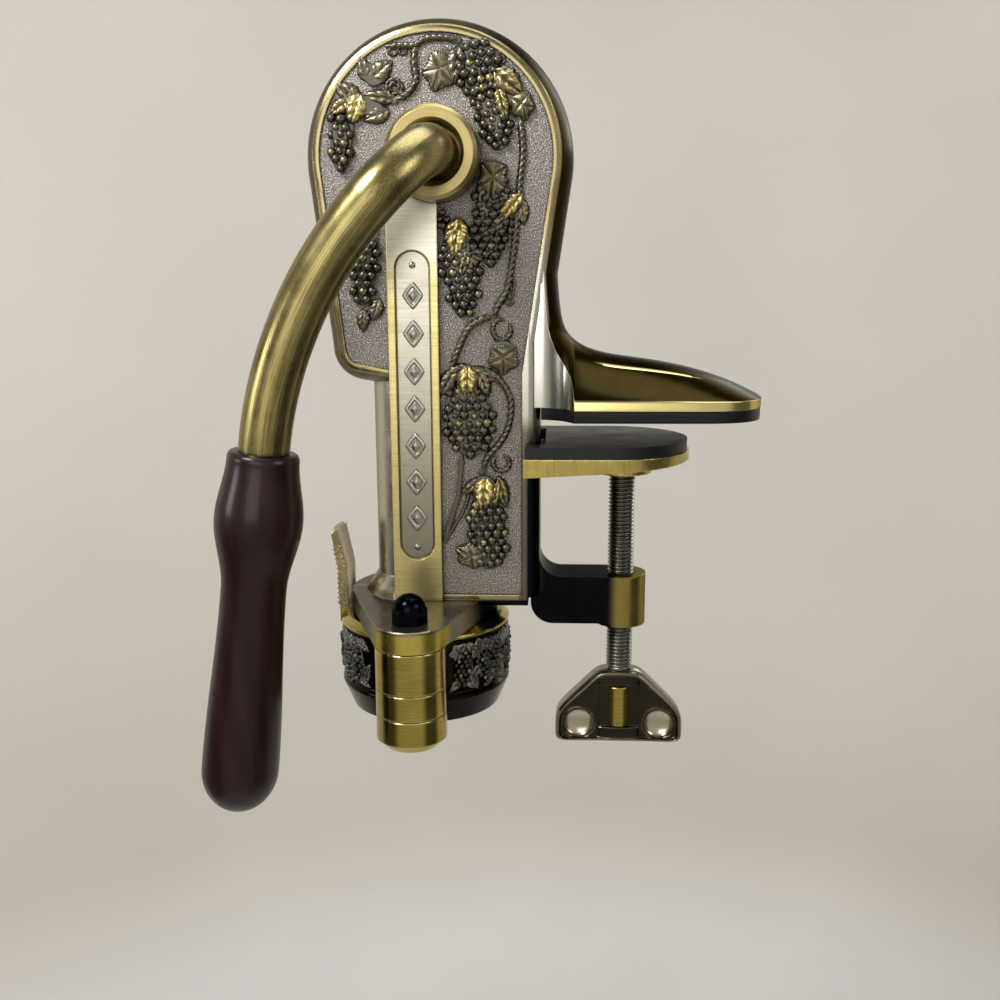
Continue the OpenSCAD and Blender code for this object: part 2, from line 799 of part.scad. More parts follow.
// Flat strip down one side, with a long round-ended recess
module side_strip() {
    top = lever_z - 0.6 * hub_r;
    low = flange_z + recess_margin;
    high = lever_z - hub_r - recess_margin;
    difference() {
        along_y(-strip_y, -floor_y) difference() {
            translate([worm_x - strip_w / 2, flange_z]) square([strip_w, top - flange_z]);
            translate(lever_axis) circle(hub_r + 2 * fit);
        }
        along_y(-strip_y - 1, -strip_y + recess_d)
            belt([worm_x, low + recess_w / 2], recess_w / 2, [worm_x, high - recess_w / 2], recess_w / 2);
    }
}

module strip_right() { color(silver) side_strip(); }

module strip_left() { color(silver) mirror([0, 1, 0]) side_strip(); }

module hub_ring() {
    edge = 1.5;
    color(brass) translate([lever_x, 0, lever_z]) rotate([90, 0, 0]) rotate_extrude() polygon([
        [hub_bore, floor_y], [hub_r, floor_y], [hub_r, hub_y - edge], [hub_r - edge, hub_y],
        [hub_bore + edge, hub_y], [hub_bore, hub_y - edge]
    ]);
}

module hub_cap() {
    rise = half_w + cap_rise;
    color(brass) translate([lever_x, 0, lever_z]) rotate([-90, 0, 0]) rotate_extrude() polygon([
        [0, half_w + 1], [shaft_r + 1, half_w + 1], [shaft_r + 1, floor_y], [hub_r, floor_y],
        [hub_r, rise - cap_edge], [hub_r - cap_edge, rise], [0, rise]
    ]);
}

module lever_bush() {
    color(brass) difference() {
        bar_y(lever_axis, hub_bore - fit, -bush_out_y, -cavity_y);
        bar_y(lever_axis, rod_r + run, -far, 0);
    }
}

module housing_screws() {
    color(steel) for (s = screw_seats) {
        bar_y([s[0], s[1]], screw_shank_r, -screw_reach, s[2] - screw_head_h);
        bar_y([s[0], s[1]], screw_head_r, s[2] - screw_head_h, s[2] - fit);
    }
}

module idler_shaft() {
    end = cavity_y + wall / 2 - fit;
    color(steel) bar_y(idler_axis, idler_shaft_r, -end, end);
}

// Fixed slide block that backs the rack opposite the pinion
module rack_guide() {
    half_h = 8;
    color(brass) translate([worm_x - tube_bore, -rack_w / 2 - 2, idler_z - half_h])
        cube([rack_back - loose - worm_x + tube_bore, rack_w + 4, 2 * half_h]);
}

// Guide bush pressed into the tube's foot, over the bottle
module guide_bush() {
    mouth = 5;
    color(brass) difference() {
        translate([worm_x, 0, bush_bottom]) cylinder(r = tube_bore - fit, h = bush_h);
        translate([worm_x, 0, bush_bottom - 1]) cylinder(r = guide_bore, h = bush_h + 2);
        translate([worm_x, 0, bush_bottom - fit]) cylinder(r1 = guide_bore + mouth, r2 = guide_bore, h = mouth);
        for (k = [0, 1])
            guide_pin(k, guide_pin_r + fit, 1);
    }
}

// One guide pin along X, half a pitch higher on the second side
module guide_pin(k, r, extra) {
    translate([worm_x, 0, guide_pin_z + k * worm_pitch / 2]) rotate([0, 90, 180 * k])
        translate([0, 0, pin_tip]) cylinder(r = r, h = tube_bore - fit - pin_tip + extra);
}

module guide_pins() {
    color(steel) for (k = [0, 1])
        guide_pin(k, guide_pin_r, 0);
}

module foot_pad() {
    color(rubber) linear_extrude(upper_pad_t) pad_plan(1);
}

// Hinge bolt with a flat head under the lowest knuckle
module hinge_bolt() {
    color(steel) translate([worm_x, hinge_y, 0]) {
        translate([0, 0, lower_bottom - knuckle_gap])
            cylinder(r = hinge_bolt_r, h = flange_z - lower_bottom + knuckle_gap + nut_hex_h - 1);
        translate([0, 0, lower_bottom - knuckle_gap - bolt_head_h])
            cylinder(r1 = knuckle_r - 3.5, r2 = knuckle_r - 1, h = bolt_head_h);
    }
}

// Domed nut on the hinge bolt
module hinge_nut() {
    dome_r = nut_af / 2 - 0.5;
    color(blued) translate([worm_x, hinge_y, flange_z]) difference() {
        union() {
            cylinder(d = nut_af / cos(30), h = nut_hex_h, $fn = 6);
            translate([0, 0, nut_hex_h - 1]) intersection() {
                sphere(dome_r + 1);
                translate([-far, -far, 0]) cube(2 * far);
            }
        }
        translate([0, 0, -1]) cylinder(r = hinge_bolt_r + fit, h = nut_hex_h + 0.5);
    }
}

// Places what follows at the lower end of the lever's long curve, heading along local -X
module at_lever_end() {
    translate([lever_x, 0, lever_z]) rotate([0, -lever_slope, 0])
        translate([-bend_r, grip_y, -sweep_r]) rotate([0, -sweep_turn, 0]) translate([0, 0, sweep_r])
            children();
}

// Straight part of the lever: the rod through the hub, stepped down to the shaft that passes the rack
module lever_axle() {
    far_end = half_w - 0.5;
    difference() {
        translate([lever_x, 0, lever_z]) rotate([90, 0, 0]) rotate_extrude() polygon([
            [0, -far_end], [shaft_r, -far_end], [shaft_r, gear_inner_y], [rod_r, gear_inner_y],
            [rod_r, -rod_bend_y], [0, -rod_bend_y]
        ]);
        key_slot(fit);
    }
}

module lever_arm() {
    color(brass) {
        lever_axle();
        translate([lever_x, 0, lever_z]) rotate([0, -lever_slope, 0]) {
            translate([-bend_r, rod_bend_y, 0]) rotate([0, 0, -90])
                rotate_extrude(angle = 90) translate([bend_r, 0]) circle(rod_r);
            translate([-bend_r, grip_y, -sweep_r]) rotate([90, 0, 0]) rotate([0, 0, 90])
                rotate_extrude(angle = sweep_turn) translate([sweep_r, 0]) circle(rod_r);
        }
        at_lever_end() rotate([0, -90, 0]) cylinder(r = tang_r, h = tang_len);
    }
}

// Space of the key between the lever's shaft and its gear
module key_slot(gap) {
    translate([lever_x - key_w / 2 - gap, -gear_outer_y - gap, lever_z + rod_r - key_in - gap])
        cube([key_w + 2 * gap, gear_w + gap, key_in + key_out + 2 * gap]);
}

module gear_key() { color(steel) key_slot(0); }

// Toothed sector on the lever's shaft, with a lightening window
module lever_gear() {
    count = ceil((lever_swing + 2 * sector_lead) / 360 * lever_teeth);
    first = to_lever + 180 - floor(sector_lead / 360 * lever_teeth) * 360 / lever_teeth;
    root_r = r_lever - dedendum;
    window_r = (root_r - gear_hub_r) / 2 - 4;
    window_at = (root_r + gear_hub_r) / 2;
    span = (count - 1) * 360 / lever_teeth;
    color(steel) difference() {
        along_y(-gear_outer_y, -gear_inner_y) translate(lever_axis) difference() {
            union() {
                polygon(concat([[0, 0]], teeth_run(lever_teeth, first, count)));
                circle(gear_hub_r);
            }
            circle(rod_r + fit);
            for (k = [1:4])
                translate(polar(window_at, first + span * k / 5)) circle(window_r);
        }
        key_slot(fit);
    }
}

// Half outline of the grip: radius at stations down its length, eased between them
module grip_section() {
    stations = [
        [0, grip_top_r], [4, grip_top_r + 0.9], [28, grip_bulb_r], [56, grip_waist_r],
        [grip_len - 18, grip_end_r]
    ];
    steps = 5;
    last = len(stations) - 1;
    side = [for (i = [0:last - 1]) for (k = [0:steps - 1])
        let (u = k / steps, e = (1 - cos(180 * u)) / 2)
        [
            stations[i][1] + (stations[i + 1][1] - stations[i][1]) * e,
            stations[i][0] + (stations[i + 1][0] - stations[i][0]) * u
        ]
    ];
    end_s = stations[last][0];
    end_r = stations[last][1];
    dome = [for (k = [0:steps]) [end_r * cos(90 * k / steps), end_s + (grip_len - end_s) * sin(90 * k / steps)]];
    polygon(concat([[0, 0]], side, dome));
}

module grip() {
    color(mahogany) at_lever_end() rotate([0, -90, 0]) difference() {
        rotate_extrude() grip_section();
        translate([0, 0, -1]) cylinder(r = tang_r + fit, h = tang_len + 2);
    }
}

// Compound idler: a large gear under the lever's sector and a pinion on the rack
module idler_gear() {
    gap_turn = 180 / idler_teeth;
    pinion_end = rack_w / 2 + 0.4;
    color(steel) difference() {
        union() {
            along_y(-gear_outer_y, -gear_inner_y) translate(idler_axis)
                polygon(teeth_run(idler_teeth, to_lever + gap_turn, idler_teeth));
            along_y(-gear_inner_y - fit, pinion_end) translate(idler_axis)
                polygon(teeth_run(pinion_teeth, 180, pinion_teeth));
        }
        bar_y(idler_axis, idler_bore_r, -far, far);
    }
}

// Rack with the carriage at its foot
module rack() {
    half_land = tooth_pitch / 4 - backlash / 2;
    lean = tan(pressure_angle);
    first = -floor(rack_tail / tooth_pitch);
    last = floor((rack_top - idler_z) / tooth_pitch) - 1;
    root_x = rack_line - dedendum;
    color(steel) {
        difference() {
            union() {
                along_y(-rack_w / 2, rack_w / 2) {
                    translate([rack_back, carriage_top - 1]) square([root_x - rack_back, rack_top - carriage_top + 1]);
                    for (k = [first:last])
                        translate([0, idler_z + (k + 0.5) * tooth_pitch]) polygon([
                            [root_x - 0.5, -half_land - dedendum * lean],
                            [root_x, -half_land - dedendum * lean],
                            [rack_line + addendum, -half_land + addendum * lean],
                            [rack_line + addendum, half_land - addendum * lean],
                            [root_x, half_land + dedendum * lean],
                            [root_x - 0.5, half_land + dedendum * lean]
                        ]);
                }
                intersection() {
                    translate([worm_x, 0, carriage_bottom]) cylinder(r = carriage_r, h = carriage_top - carriage_bottom);
                    translate([-far, -carriage_half, -far]) cube([2 * far, 2 * carriage_half, 2 * far]);
                }
            }
            translate([worm_x - bearing_r - 1, -far, plate_top]) cube([2 * (bearing_r + 1), 2 * far, clip_room]);
            translate([worm_x, 0, carriage_bottom - 1]) cylinder(r = bearing_r + fit, h = carriage_plate_t + 1.5);
        }
    }
}

module worm_bearing() {
    color(brass) translate([worm_x, 0, carriage_bottom]) difference() {
        cylinder(r = bearing_r, h = carriage_plate_t);
        translate([0, 0, -1]) cylinder(r = shank_r + run, h = carriage_plate_t + 2);
    }
}

// Centre line of the worm's wire at a height, level with the gaps that the guide pins stand in
function helix_at(z) =
    let (a = 360 * (z - guide_pin_z) / worm_pitch + 180)
    [helix_r * cos(a), helix_r * sin(a), z];

// Helical wire from the tip to the collar, pointed at its end
module helix_wire() {
    sides = 8;
    rings_a_turn = 12;
    bottom = worm_tip_z;
    top = worm_top_z + 1;
    rings = ceil((top - bottom) / worm_pitch * rings_a_turn);
    rise = atan2(worm_pitch, 2 * PI * helix_r);
    tip_share = 0.8;
    points = [for (i = [0:rings]) for (k = [0:sides - 1])
        let (
            z = bottom + (top - bottom) * i / rings,
            at = helix_at(z),
            a = 360 * (z - guide_pin_z) / worm_pitch + 180,
            r = wire_r * min(1, 0.25 + (z - bottom) / worm_pitch * tip_share),
            out = r * cos(360 * k / sides),
            up = r * sin(360 * k / sides)
        )
        at + [cos(a) * out + sin(rise) * sin(a) * up, sin(a) * out - sin(rise) * cos(a) * up, cos(rise) * up]
    ];
    side_faces = [for (i = [0:rings - 1]) for (k = [0:sides - 1])
        let (a = i * sides + k, b = i * sides + (k + 1) % sides)
        each [[a, b, b + sides], [a, b + sides, a + sides]]
    ];
    caps = [for (k = [1:sides - 2]) each [
        [0, k + 1, k],
        [rings * sides, rings * sides + k, rings * sides + k + 1]
    ]];
    polyhedron(points, concat(side_faces, caps));
}

module worm() {
    clip_low = plate_top + loose;
    color(steel) translate([worm_x, 0, 0]) {
        helix_wire();
        translate([0, 0, worm_top_z]) cylinder(r = collar_r_worm, h = collar_t_worm);
        translate([0, 0, worm_top_z + collar_t_worm - 0.5]) cylinder(r = shank_r, h = clip_low - worm_top_z - collar_t_worm + 0.5);
        translate([0, 0, clip_low - 0.5]) cylinder(r = shank_r - 0.6, h = clip_t + 1);
        translate([0, 0, clip_low + clip_t + fit]) cylinder(r = shank_r, h = 1.5);
    }
}

module worm_clip() {
    color(steel) translate([worm_x, 0, plate_top + loose]) difference() {
        cylinder(r = shank_r + 2.2, h = clip_t);
        translate([0, 0, -1]) cylinder(r = shank_r - 0.6 + fit, h = clip_t + 2);
        translate([0, -shank_r / 2, -1]) cube([far, shank_r, clip_t + 2]);
    }
}

// Half of the bottle collar on the front side, with its top bevel and its tapered lower band
module half_collar() {
    mouth = 1.5;
    translate([worm_x, 0, 0]) rotate([0, 0, 90]) difference() {
        rotate_extrude(angle = 180) polygon([
            [neck_r, collar_top], [collar_r - collar_bevel, collar_top], [collar_r, collar_top - collar_bevel],
            [collar_r, ground_top + ground_d], [collar_r - ground_d, ground_top],
            [collar_r - ground_d, ground_bottom], [collar_r, ground_bottom - ground_d],
            [collar_r, collar_bottom + band_h], [collar_r - band_taper, collar_bottom],
            [neck_r + mouth, collar_bottom], [neck_r, collar_bottom + mouth]
        ]);
        translate([-far, -jaw_gap / 2, -far]) cube([2 * far, jaw_gap, 2 * far]);
    }
}

// One knuckle and its web to the front half of the collar
module jaw_knuckle(top, bottom) {
    translate([worm_x, hinge_y, bottom]) cylinder(r = knuckle_r, h = top - bottom);
    translate([worm_x - knuckle_r + 1.5, hinge_y, bottom])
        cube([knuckle_r - 1.5 - jaw_gap, -hinge_y - collar_r + 7, top - bottom]);
}

// Curved finger tab that stands on the collar at a bearing round it and leans outward at its top
module finger_tab(bearing) {
    out_r = tab_in_r + tab_t;
    hook_z = tab_top - hook_h;
    translate([worm_x, 0, 0]) rotate([0, 0, bearing - tab_span / 2]) rotate_extrude(angle = tab_span) polygon([
        [tab_in_r, tab_base], [out_r, tab_base], [out_r, hook_z], [out_r + hook_out, tab_top - tab_t / 2],
        [out_r + hook_out - tab_t / 4, tab_top], [tab_in_r + hook_out + tab_t / 4, tab_top], [tab_in_r, hook_z]
    ]);
}

// Bore for the hinge bolt through a jaw
module hinge_bore() {
    translate([worm_x, hinge_y, -far]) cylinder(r = hinge_bolt_r + run, h = far);
}

module front_jaw() {
    color(brass) difference() {
        union() {
            half_collar();
            jaw_knuckle(upper_top, upper_bottom);
            jaw_knuckle(lower_top, lower_bottom);
            finger_tab(178);
        }
        hinge_bore();
    }
}

module rear_jaw() {
    color(brass) difference() {
        union() {
            translate([2 * worm_x, 0, 0]) mirror([1, 0, 0]) {
                half_collar();
                jaw_knuckle(middle_top, middle_bottom);
            }
            finger_tab(74);
        }
        hinge_bore();
    }
}

// Plan of the pressure plate: a fork round the spine and a round end
module plate_plan(inset) {
    half = plate_w / 2 - inset;
    slot = fork_in + inset;
    difference() {
        union() {
            translate([fork_x + inset, -half]) square([plate_end_x - fork_x - inset, 2 * half]);
            translate([plate_end_x, 0]) circle(half);
        }
        translate([fork_x - 1, -slot]) square([plate_front_x + inset - fork_x + 1, 2 * slot]);
    }
}

module pressure_plate() {
    end_x = plate_end_x + plate_end_r;
    color(brass) difference() {
        union() {
            intersection() {
                translate([0, 0, plate_bottom_z]) linear_extrude(plate_t) plate_plan(0);
                along_y(-plate_w, plate_w) polygon([
                    [fork_x, plate_bottom_z], [end_x, plate_top_z - plate_tip_t], [end_x, plate_top_z],
                    [fork_x, plate_top_z]
                ]);
            }
            translate([0, 0, boss_bottom]) cylinder(r = boss_r, h = plate_top_z - plate_tip_t - boss_bottom);
        }
        translate([0, 0, -far]) cylinder(r = journal_r + run, h = far);
        translate([0, 0, plate_top_z - clip_pocket_d]) cylinder(r = clip_pocket_r, h = far);
    }
}

module clamp_pad() {
    color(rubber) translate([0, 0, plate_top_z]) linear_extrude(lower_pad_t) plate_plan(1);
}

module clamp_screw() {
    groove = 0.5;
    clip_z = plate_top_z - clip_pocket_d + 0.2;
    color(dark_steel) difference() {
        union() {
            translate([0, 0, wing_top]) cylinder(r = screw_r, h = boss_bottom - loose - wing_top);
            translate([0, 0, boss_bottom - loose - 1]) cylinder(r = journal_r, h = journal_top - boss_bottom + loose + 1);
            translate([0, 0, screw_end_z]) cylinder(r = screw_end_r, h = wing_top - screw_end_z + 1);
        }
        translate([0, 0, clip_z]) difference() {
            cylinder(r = journal_r + 1, h = clip_t + fit);
            translate([0, 0, -1]) cylinder(r = journal_r - groove, h = clip_t + 3);
        }
        bar_y([0, wing_pin_z], wing_pin_r + fit, -far, far);
    }
}

module screw_clip() {
    groove = 0.5;
    color(steel) translate([0, 0, plate_top_z - clip_pocket_d + 0.2]) difference() {
        cylinder(r = clip_pocket_r - 0.8, h = clip_t);
        translate([0, 0, -1]) cylinder(r = journal_r - groove + fit, h = clip_t + 2);
        translate([0, -journal_r / 2, -1]) cube([far, journal_r, clip_t + 2]);
    }
}

// Front outline of the wing: a flat top that slopes to two round ends
module wing_outline() {
    end_x = wing_span / 2 - wing_end_r;
    end_z = wing_bottom + wing_end_r;
    shoulder = polar(0.96 * wing_end_r, 47);
    union() {
        belt([-end_x, end_z], wing_end_r, [end_x, end_z], wing_end_r);
        polygon([
            [-end_x - shoulder[0], end_z + shoulder[1]], [-end_x, end_z], [end_x, end_z],
            [end_x + shoulder[0], end_z + shoulder[1]], [wing_flat / 2, wing_top], [-wing_flat / 2, wing_top]
        ]);
    }
}

module wing_handle() {
    valley_w = 2 * sleeve_r + 3;
    valley_d = 3;
    valley_h = sleeve_top - sleeve_bottom;
    color(dark_steel) difference() {
        along_y(-wing_t / 2, wing_t / 2) wing_outline();
        translate([0, 0, sleeve_bottom]) cylinder(r = sleeve_r + fit, h = valley_h);
        translate([0, 0, screw_end_z - fit]) cylinder(r = screw_end_r + fit, h = wing_h);
        for (s = [-1, 1]) {
            translate([-valley_w / 2, s > 0 ? wing_t / 2 - valley_d : -wing_t / 2 - 1, sleeve_bottom])
                cube([valley_w, valley_d + 1, valley_h]);
            for (side = [-1, 1])
                translate([side * (wing_span / 2 - wing_end_r - 2), s * (wing_t / 2 + dimple_r - dimple_d), wing_bottom + wing_end_r])
                    sphere(dimple_r);
        }
        bar_y([0, wing_pin_z], wing_pin_r + fit, -far, far);
    }
}

module wing_sleeve() {
    color(brass) difference() {
        translate([0, 0, sleeve_bottom]) cylinder(r = sleeve_r, h = sleeve_top - sleeve_bottom);
        translate([0, 0, sleeve_bottom - 1]) cylinder(r = screw_end_r + fit, h = far);
    }
}

module wing_pin() {
    color(steel) bar_y([0, wing_pin_z], wing_pin_r, -wing_t / 2 + 0.2, wing_t / 2 - 0.2);
}

housing_right();
housing_left();
panel_right();
panel_left();
strip_right();
strip_left();
hub_ring();
hub_cap();
lever_bush();
housing_screws();
idler_shaft();
rack_guide();
guide_bush();
guide_pins();
foot();
foot_pad();
hinge_bolt();
hinge_nut();
lever_arm();
lever_gear();
gear_key();
grip();
idler_gear();
rack();
worm_bearing();
worm();
worm_clip();
front_jaw();
rear_jaw();
pressure_plate();
clamp_pad();
clamp_screw();
screw_clip();
wing_handle();
wing_sleeve();
wing_pin();
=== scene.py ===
"""Looks of the countertop corkscrew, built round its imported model.

Sizes and places are in millimetres in the model's own frame: X runs back over the counter, the lever is on
the -Y side and Z is up. Surface.put turns them into metres.
"""

from __future__ import annotations

import logging
import math
from dataclasses import dataclass
from enum import Enum
from typing import Callable, Sequence

import bpy
import numpy as np
from mathutils import Matrix, Vector


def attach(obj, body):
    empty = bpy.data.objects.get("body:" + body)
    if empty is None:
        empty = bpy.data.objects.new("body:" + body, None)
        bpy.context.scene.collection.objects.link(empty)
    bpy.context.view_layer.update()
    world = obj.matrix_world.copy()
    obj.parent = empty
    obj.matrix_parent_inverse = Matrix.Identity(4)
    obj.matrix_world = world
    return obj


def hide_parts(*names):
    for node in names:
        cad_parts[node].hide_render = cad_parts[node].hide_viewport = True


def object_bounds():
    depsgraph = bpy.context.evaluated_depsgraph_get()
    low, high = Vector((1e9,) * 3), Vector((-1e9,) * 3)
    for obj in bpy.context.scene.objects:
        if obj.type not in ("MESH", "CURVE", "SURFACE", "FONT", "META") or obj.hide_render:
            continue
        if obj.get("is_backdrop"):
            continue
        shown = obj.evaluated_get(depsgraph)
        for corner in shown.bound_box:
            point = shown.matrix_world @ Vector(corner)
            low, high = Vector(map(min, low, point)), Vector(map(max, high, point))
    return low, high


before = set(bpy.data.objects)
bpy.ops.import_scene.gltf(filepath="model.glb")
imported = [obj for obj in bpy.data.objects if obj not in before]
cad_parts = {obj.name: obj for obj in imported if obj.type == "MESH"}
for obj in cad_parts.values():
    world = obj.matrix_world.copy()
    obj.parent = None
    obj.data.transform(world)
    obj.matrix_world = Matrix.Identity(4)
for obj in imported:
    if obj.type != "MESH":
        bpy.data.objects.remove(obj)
CAD_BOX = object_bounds()

LOG = logging.getLogger("corkscrew")
MM = 0.001
FULL_TURN = 2.0 * math.pi

Rgb = tuple[int, int, int]
Place = Callable[[np.ndarray], np.ndarray]

# Axes that several pieces share
WORM_X = -90.5
LEVER_AXIS = (-80.0, 109.0)
SWEEP_CENTRE = (23.8, -26.1)
RECESS_SPAN = (-61.5, 71.6)
RECESS_RADIUS = 7.5


class Slot(Enum):
    """Names of material slots, passed along with new pieces but not used by them."""

    ANTIQUE_BRASS = "antique_brass"
    PEWTER_FIELD = "pewter_field"
    BRUSHED_STRIP = "brushed_strip"
    DARK_STEEL = "dark_steel"
    DARK_BRASS = "dark_brass"
    DARK_WOOD = "dark_wood"
    BLACK_RUBBER = "black_rubber"


class Grain(Enum):
    """Which way a surface's brush marks run."""

    NONE = "none"
    LEVEL = "level"
    UPRIGHT = "upright"
    ROUND_HUB = "round_hub"
    ALONG_ROD = "along_rod"


class LeafKind(Enum):
    """Outline of a leaf in the relief."""

    POINTED = "pointed"
    LOBED = "lobed"


def linear(colour: Rgb) -> tuple[float, float, float, float]:
    """Turn a display colour into the linear one that shaders take.

    Args:
        colour: Red, green and blue from 0 to 255.

    Returns:
        Linear red, green and blue, and an alpha of one.
    """
    share = np.asarray(colour, float) / 255.0
    values = np.where(share <= 0.04045, share / 12.92, ((share + 0.055) / 1.055) ** 2.4)
    return (float(values[0]), float(values[1]), float(values[2]), 1.0)


def ease(value: np.ndarray, low: float, high: float) -> np.ndarray:
    """Rise smoothly from 0 at low to 1 at high: three u squared less two u cubed.

    Args:
        value: Where to read the curve.
        low: Value at which it leaves 0.
        high: Value at which it reaches 1.

    Returns:
        The eased share at each value.
    """
    u = np.clip((value - low) / (high - low), 0.0, 1.0)
    return u * u * (3.0 - 2.0 * u)


def bearings(count: int) -> np.ndarray:
    """Even bearings once round, in radians."""
    return np.linspace(0.0, FULL_TURN, count, endpoint=False)


def smooth_path(knots: Sequence[tuple[float, float]], count: int) -> np.ndarray:
    """Carry a smooth curve through a few places.

    Each stretch is the cubic whose slope at a knot is half the way between its neighbours, and the points
    are then spaced evenly along the curve's length.

    Args:
        knots: Places that the curve goes through.
        count: Number of points wanted.

    Returns:
        The points, one row each.
    """
    p = np.asarray(knots, float)
    slope = np.gradient(p, axis=0)
    u = np.linspace(0.0, len(p) - 1.0, 16 * len(p))
    i = np.minimum(u.astype(int), len(p) - 2)
    s = (u - i)[:, None]
    curve = (
        (2 * s**3 - 3 * s**2 + 1) * p[i]
        + (s**3 - 2 * s**2 + s) * slope[i]
        + (3 * s**2 - 2 * s**3) * p[i + 1]
        + (s**3 - s**2) * slope[i + 1]
    )
    run = np.concatenate([[0.0], np.cumsum(np.linalg.norm(np.diff(curve, axis=0), axis=1))])
    even = np.linspace(0.0, run[-1], count)
    return np.stack([np.interp(even, run, curve[:, k]) for k in range(p.shape[1])], axis=1)


@dataclass
class Surface:
    """A mesh in the making.

    Attributes:
        points: Places in millimetres, one row a point.
        quads: Four point numbers a row.
        tris: Three point numbers a row.
        rub_and_highlight: How bright each point is made, 0 to 1: rubbed wear on the relief, a painted
            highlight on the foot.
    """

    points: np.ndarray
    quads: np.ndarray
    tris: np.ndarray
    rub_and_highlight: np.ndarray

    @classmethod
    def solids(cls, rings: np.ndarray, starts: np.ndarray, ends: np.ndarray, rub_and_highlight: np.ndarray) -> Surface:
        """Close stacks of rings into solids.

        Each ring joins the next by four-sided faces, and the first and last ring of a stack close on a
        point each.

        Args:
            rings: Points by stack, ring, place round the ring and axis.
            starts: Closing point before each stack's first ring.
            ends: Closing point after each stack's last ring.
            rub_and_highlight: Brightness by stack, ring and place round the ring.

        Returns:
            All the solids as one surface, with its faces outward.
        """
        stacks, count, around = rings.shape[:3]
        each = count * around + 2
        base = (np.arange(stacks) * each)[:, None, None]
        number = base + np.arange(count * around).reshape(1, count, around)
        turned = np.roll(number, -1, axis=2)
        quads = np.stack([number[:, :-1], turned[:, :-1], turned[:, 1:], number[:, 1:]], axis=-1)
        first = np.broadcast_to(base[:, 0] + each - 2, (stacks, around))
        last = first + 1
        tris = np.concatenate([
            np.stack([first, turned[:, 0], number[:, 0]], axis=-1).reshape(-1, 3),
            np.stack([last, number[:, -1], turned[:, -1]], axis=-1).reshape(-1, 3),
        ])
        points = np.concatenate([rings.reshape(stacks, -1, 3), starts[:, None], ends[:, None]], axis=1)
        tips = np.stack([rub_and_highlight[:, 0].mean(axis=1), rub_and_highlight[:, -1].mean(axis=1)], axis=1)
        shine = np.concatenate([rub_and_highlight.reshape(stacks, -1), tips], axis=1)
        return cls(points.reshape(-1, 3), quads.reshape(-1, 4), tris, shine.ravel()).outward()

    @classmethod
    def solid(cls, rings: np.ndarray, tips: np.ndarray, rub_and_highlight: np.ndarray | None = None) -> Surface:
        """Close one stack of rings on a point before it and one after it, dull where no rub is given."""
        shine = np.zeros(rings.shape[:2]) if rub_and_highlight is None else rub_and_highlight
        return cls.solids(rings[None], tips[:1], tips[1:], shine[None])

    @classmethod
    def join(cls, parts: Sequence[Surface]) -> Surface:
        """Put several surfaces into one.

        Args:
            parts: The surfaces.

        Returns:
            One surface, with each part's points after those of the one before.
        """
        starts = np.cumsum([0] + [len(part.points) for part in parts[:-1]])
        return cls(
            np.concatenate([part.points for part in parts]),
            np.concatenate([part.quads + start for part, start in zip(parts, starts)]),
            np.concatenate([part.tris + start for part, start in zip(parts, starts)]),
            np.concatenate([part.rub_and_highlight for part in parts]),
        )

    def outward(self) -> Surface:
        """Turn the faces over where they enclose a negative volume."""
        p = self.points - self.points.mean(axis=0)
        corners = np.concatenate([self.quads[:, [0, 1, 2]], self.quads[:, [0, 2, 3]], self.tris])
        a, b, c = p[corners[:, 0]], p[corners[:, 1]], p[corners[:, 2]]
        if np.einsum("ij,ij->", a, np.cross(b, c)) < 0.0:
            return Surface(self.points, self.quads[:, ::-1], self.tris[:, ::-1], self.rub_and_highlight)
        return self

    def placed(self, place: Place) -> Surface:
        """Carry the points through a mapping and turn the faces outward again."""
        return Surface(place(self.points), self.quads, self.tris, self.rub_and_highlight).outward()

    def put(
        self,
        name: str,
        body: str,
        slot: Slot,
        finish: Finish,
        replaces: Sequence[str] = (),
        crease: float = 50.0,
    ) -> None:
        """Make the surface a piece of the scene.

        Args:
            name: Name of the piece.
            body: Body that it moves with.
            slot: Material slot of the finish; not used.
            finish: Finish that it gets.
            replaces: Nodes that it stands for.
            crease: Angle in degrees above which an edge is sharp.
        """
        mesh = bpy.data.meshes.new(name)
        corners = np.concatenate([self.quads.ravel(), self.tris.ravel()]).astype(np.int32)
        sides = 4 * np.arange(len(self.quads))
        starts = np.concatenate([sides, 4 * len(self.quads) + 3 * np.arange(len(self.tris))]).astype(np.int32)
        mesh.vertices.add(len(self.points))
        mesh.vertices.foreach_set("co", (self.points * MM).astype(np.float32).ravel())
        mesh.loops.add(len(corners))
        mesh.loops.foreach_set("vertex_index", corners)
        mesh.polygons.add(len(starts))
        mesh.polygons.foreach_set("loop_start", starts)
        mesh.polygons.foreach_set("use_smooth", np.ones(len(starts), bool))
        mesh.update(calc_edges=True)
        mesh.set_sharp_from_angle(angle=math.radians(crease))
        mesh.attributes.new("rub_and_highlight", "FLOAT", "POINT").data.foreach_set("value", self.rub_and_highlight.astype(np.float32))
        mesh.materials.append(finish.material())
        piece = bpy.data.objects.new(name, mesh)
        bpy.context.scene.collection.objects.link(piece)
        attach(piece, body)
        if replaces:
            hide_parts(*replaces)
        LOG.info("%s: %d points, rides %s", name, len(self.points), body)


def put_on_both_sides(
    flat: Surface, name: str, out: float, slot: Slot, finish: Finish, crease: float = 50.0
) -> None:
    """Stand a flat ornament on the body's near side and its mirror image on the far side.

    Args:
        flat: Ornament with X along, height across and its rise over the ground.
        name: Start of the two pieces' names.
        out: Distance of the ground from the middle plane.
        slot: Material slot of the pieces.
        finish: Finish of the pieces.
        crease: Angle in degrees above which an edge is sharp.
    """
    for label, side in (("right", -1.0), ("left", 1.0)):
        def place(p: np.ndarray, side: float = side) -> np.ndarray:
            """Stand the flat ornament on this side."""
            return np.stack([p[:, 0], side * (out + p[:, 2]), p[:, 1]], axis=1)

        flat.placed(place).put(f"{name}_{label}", "frame", slot, finish, crease=crease)


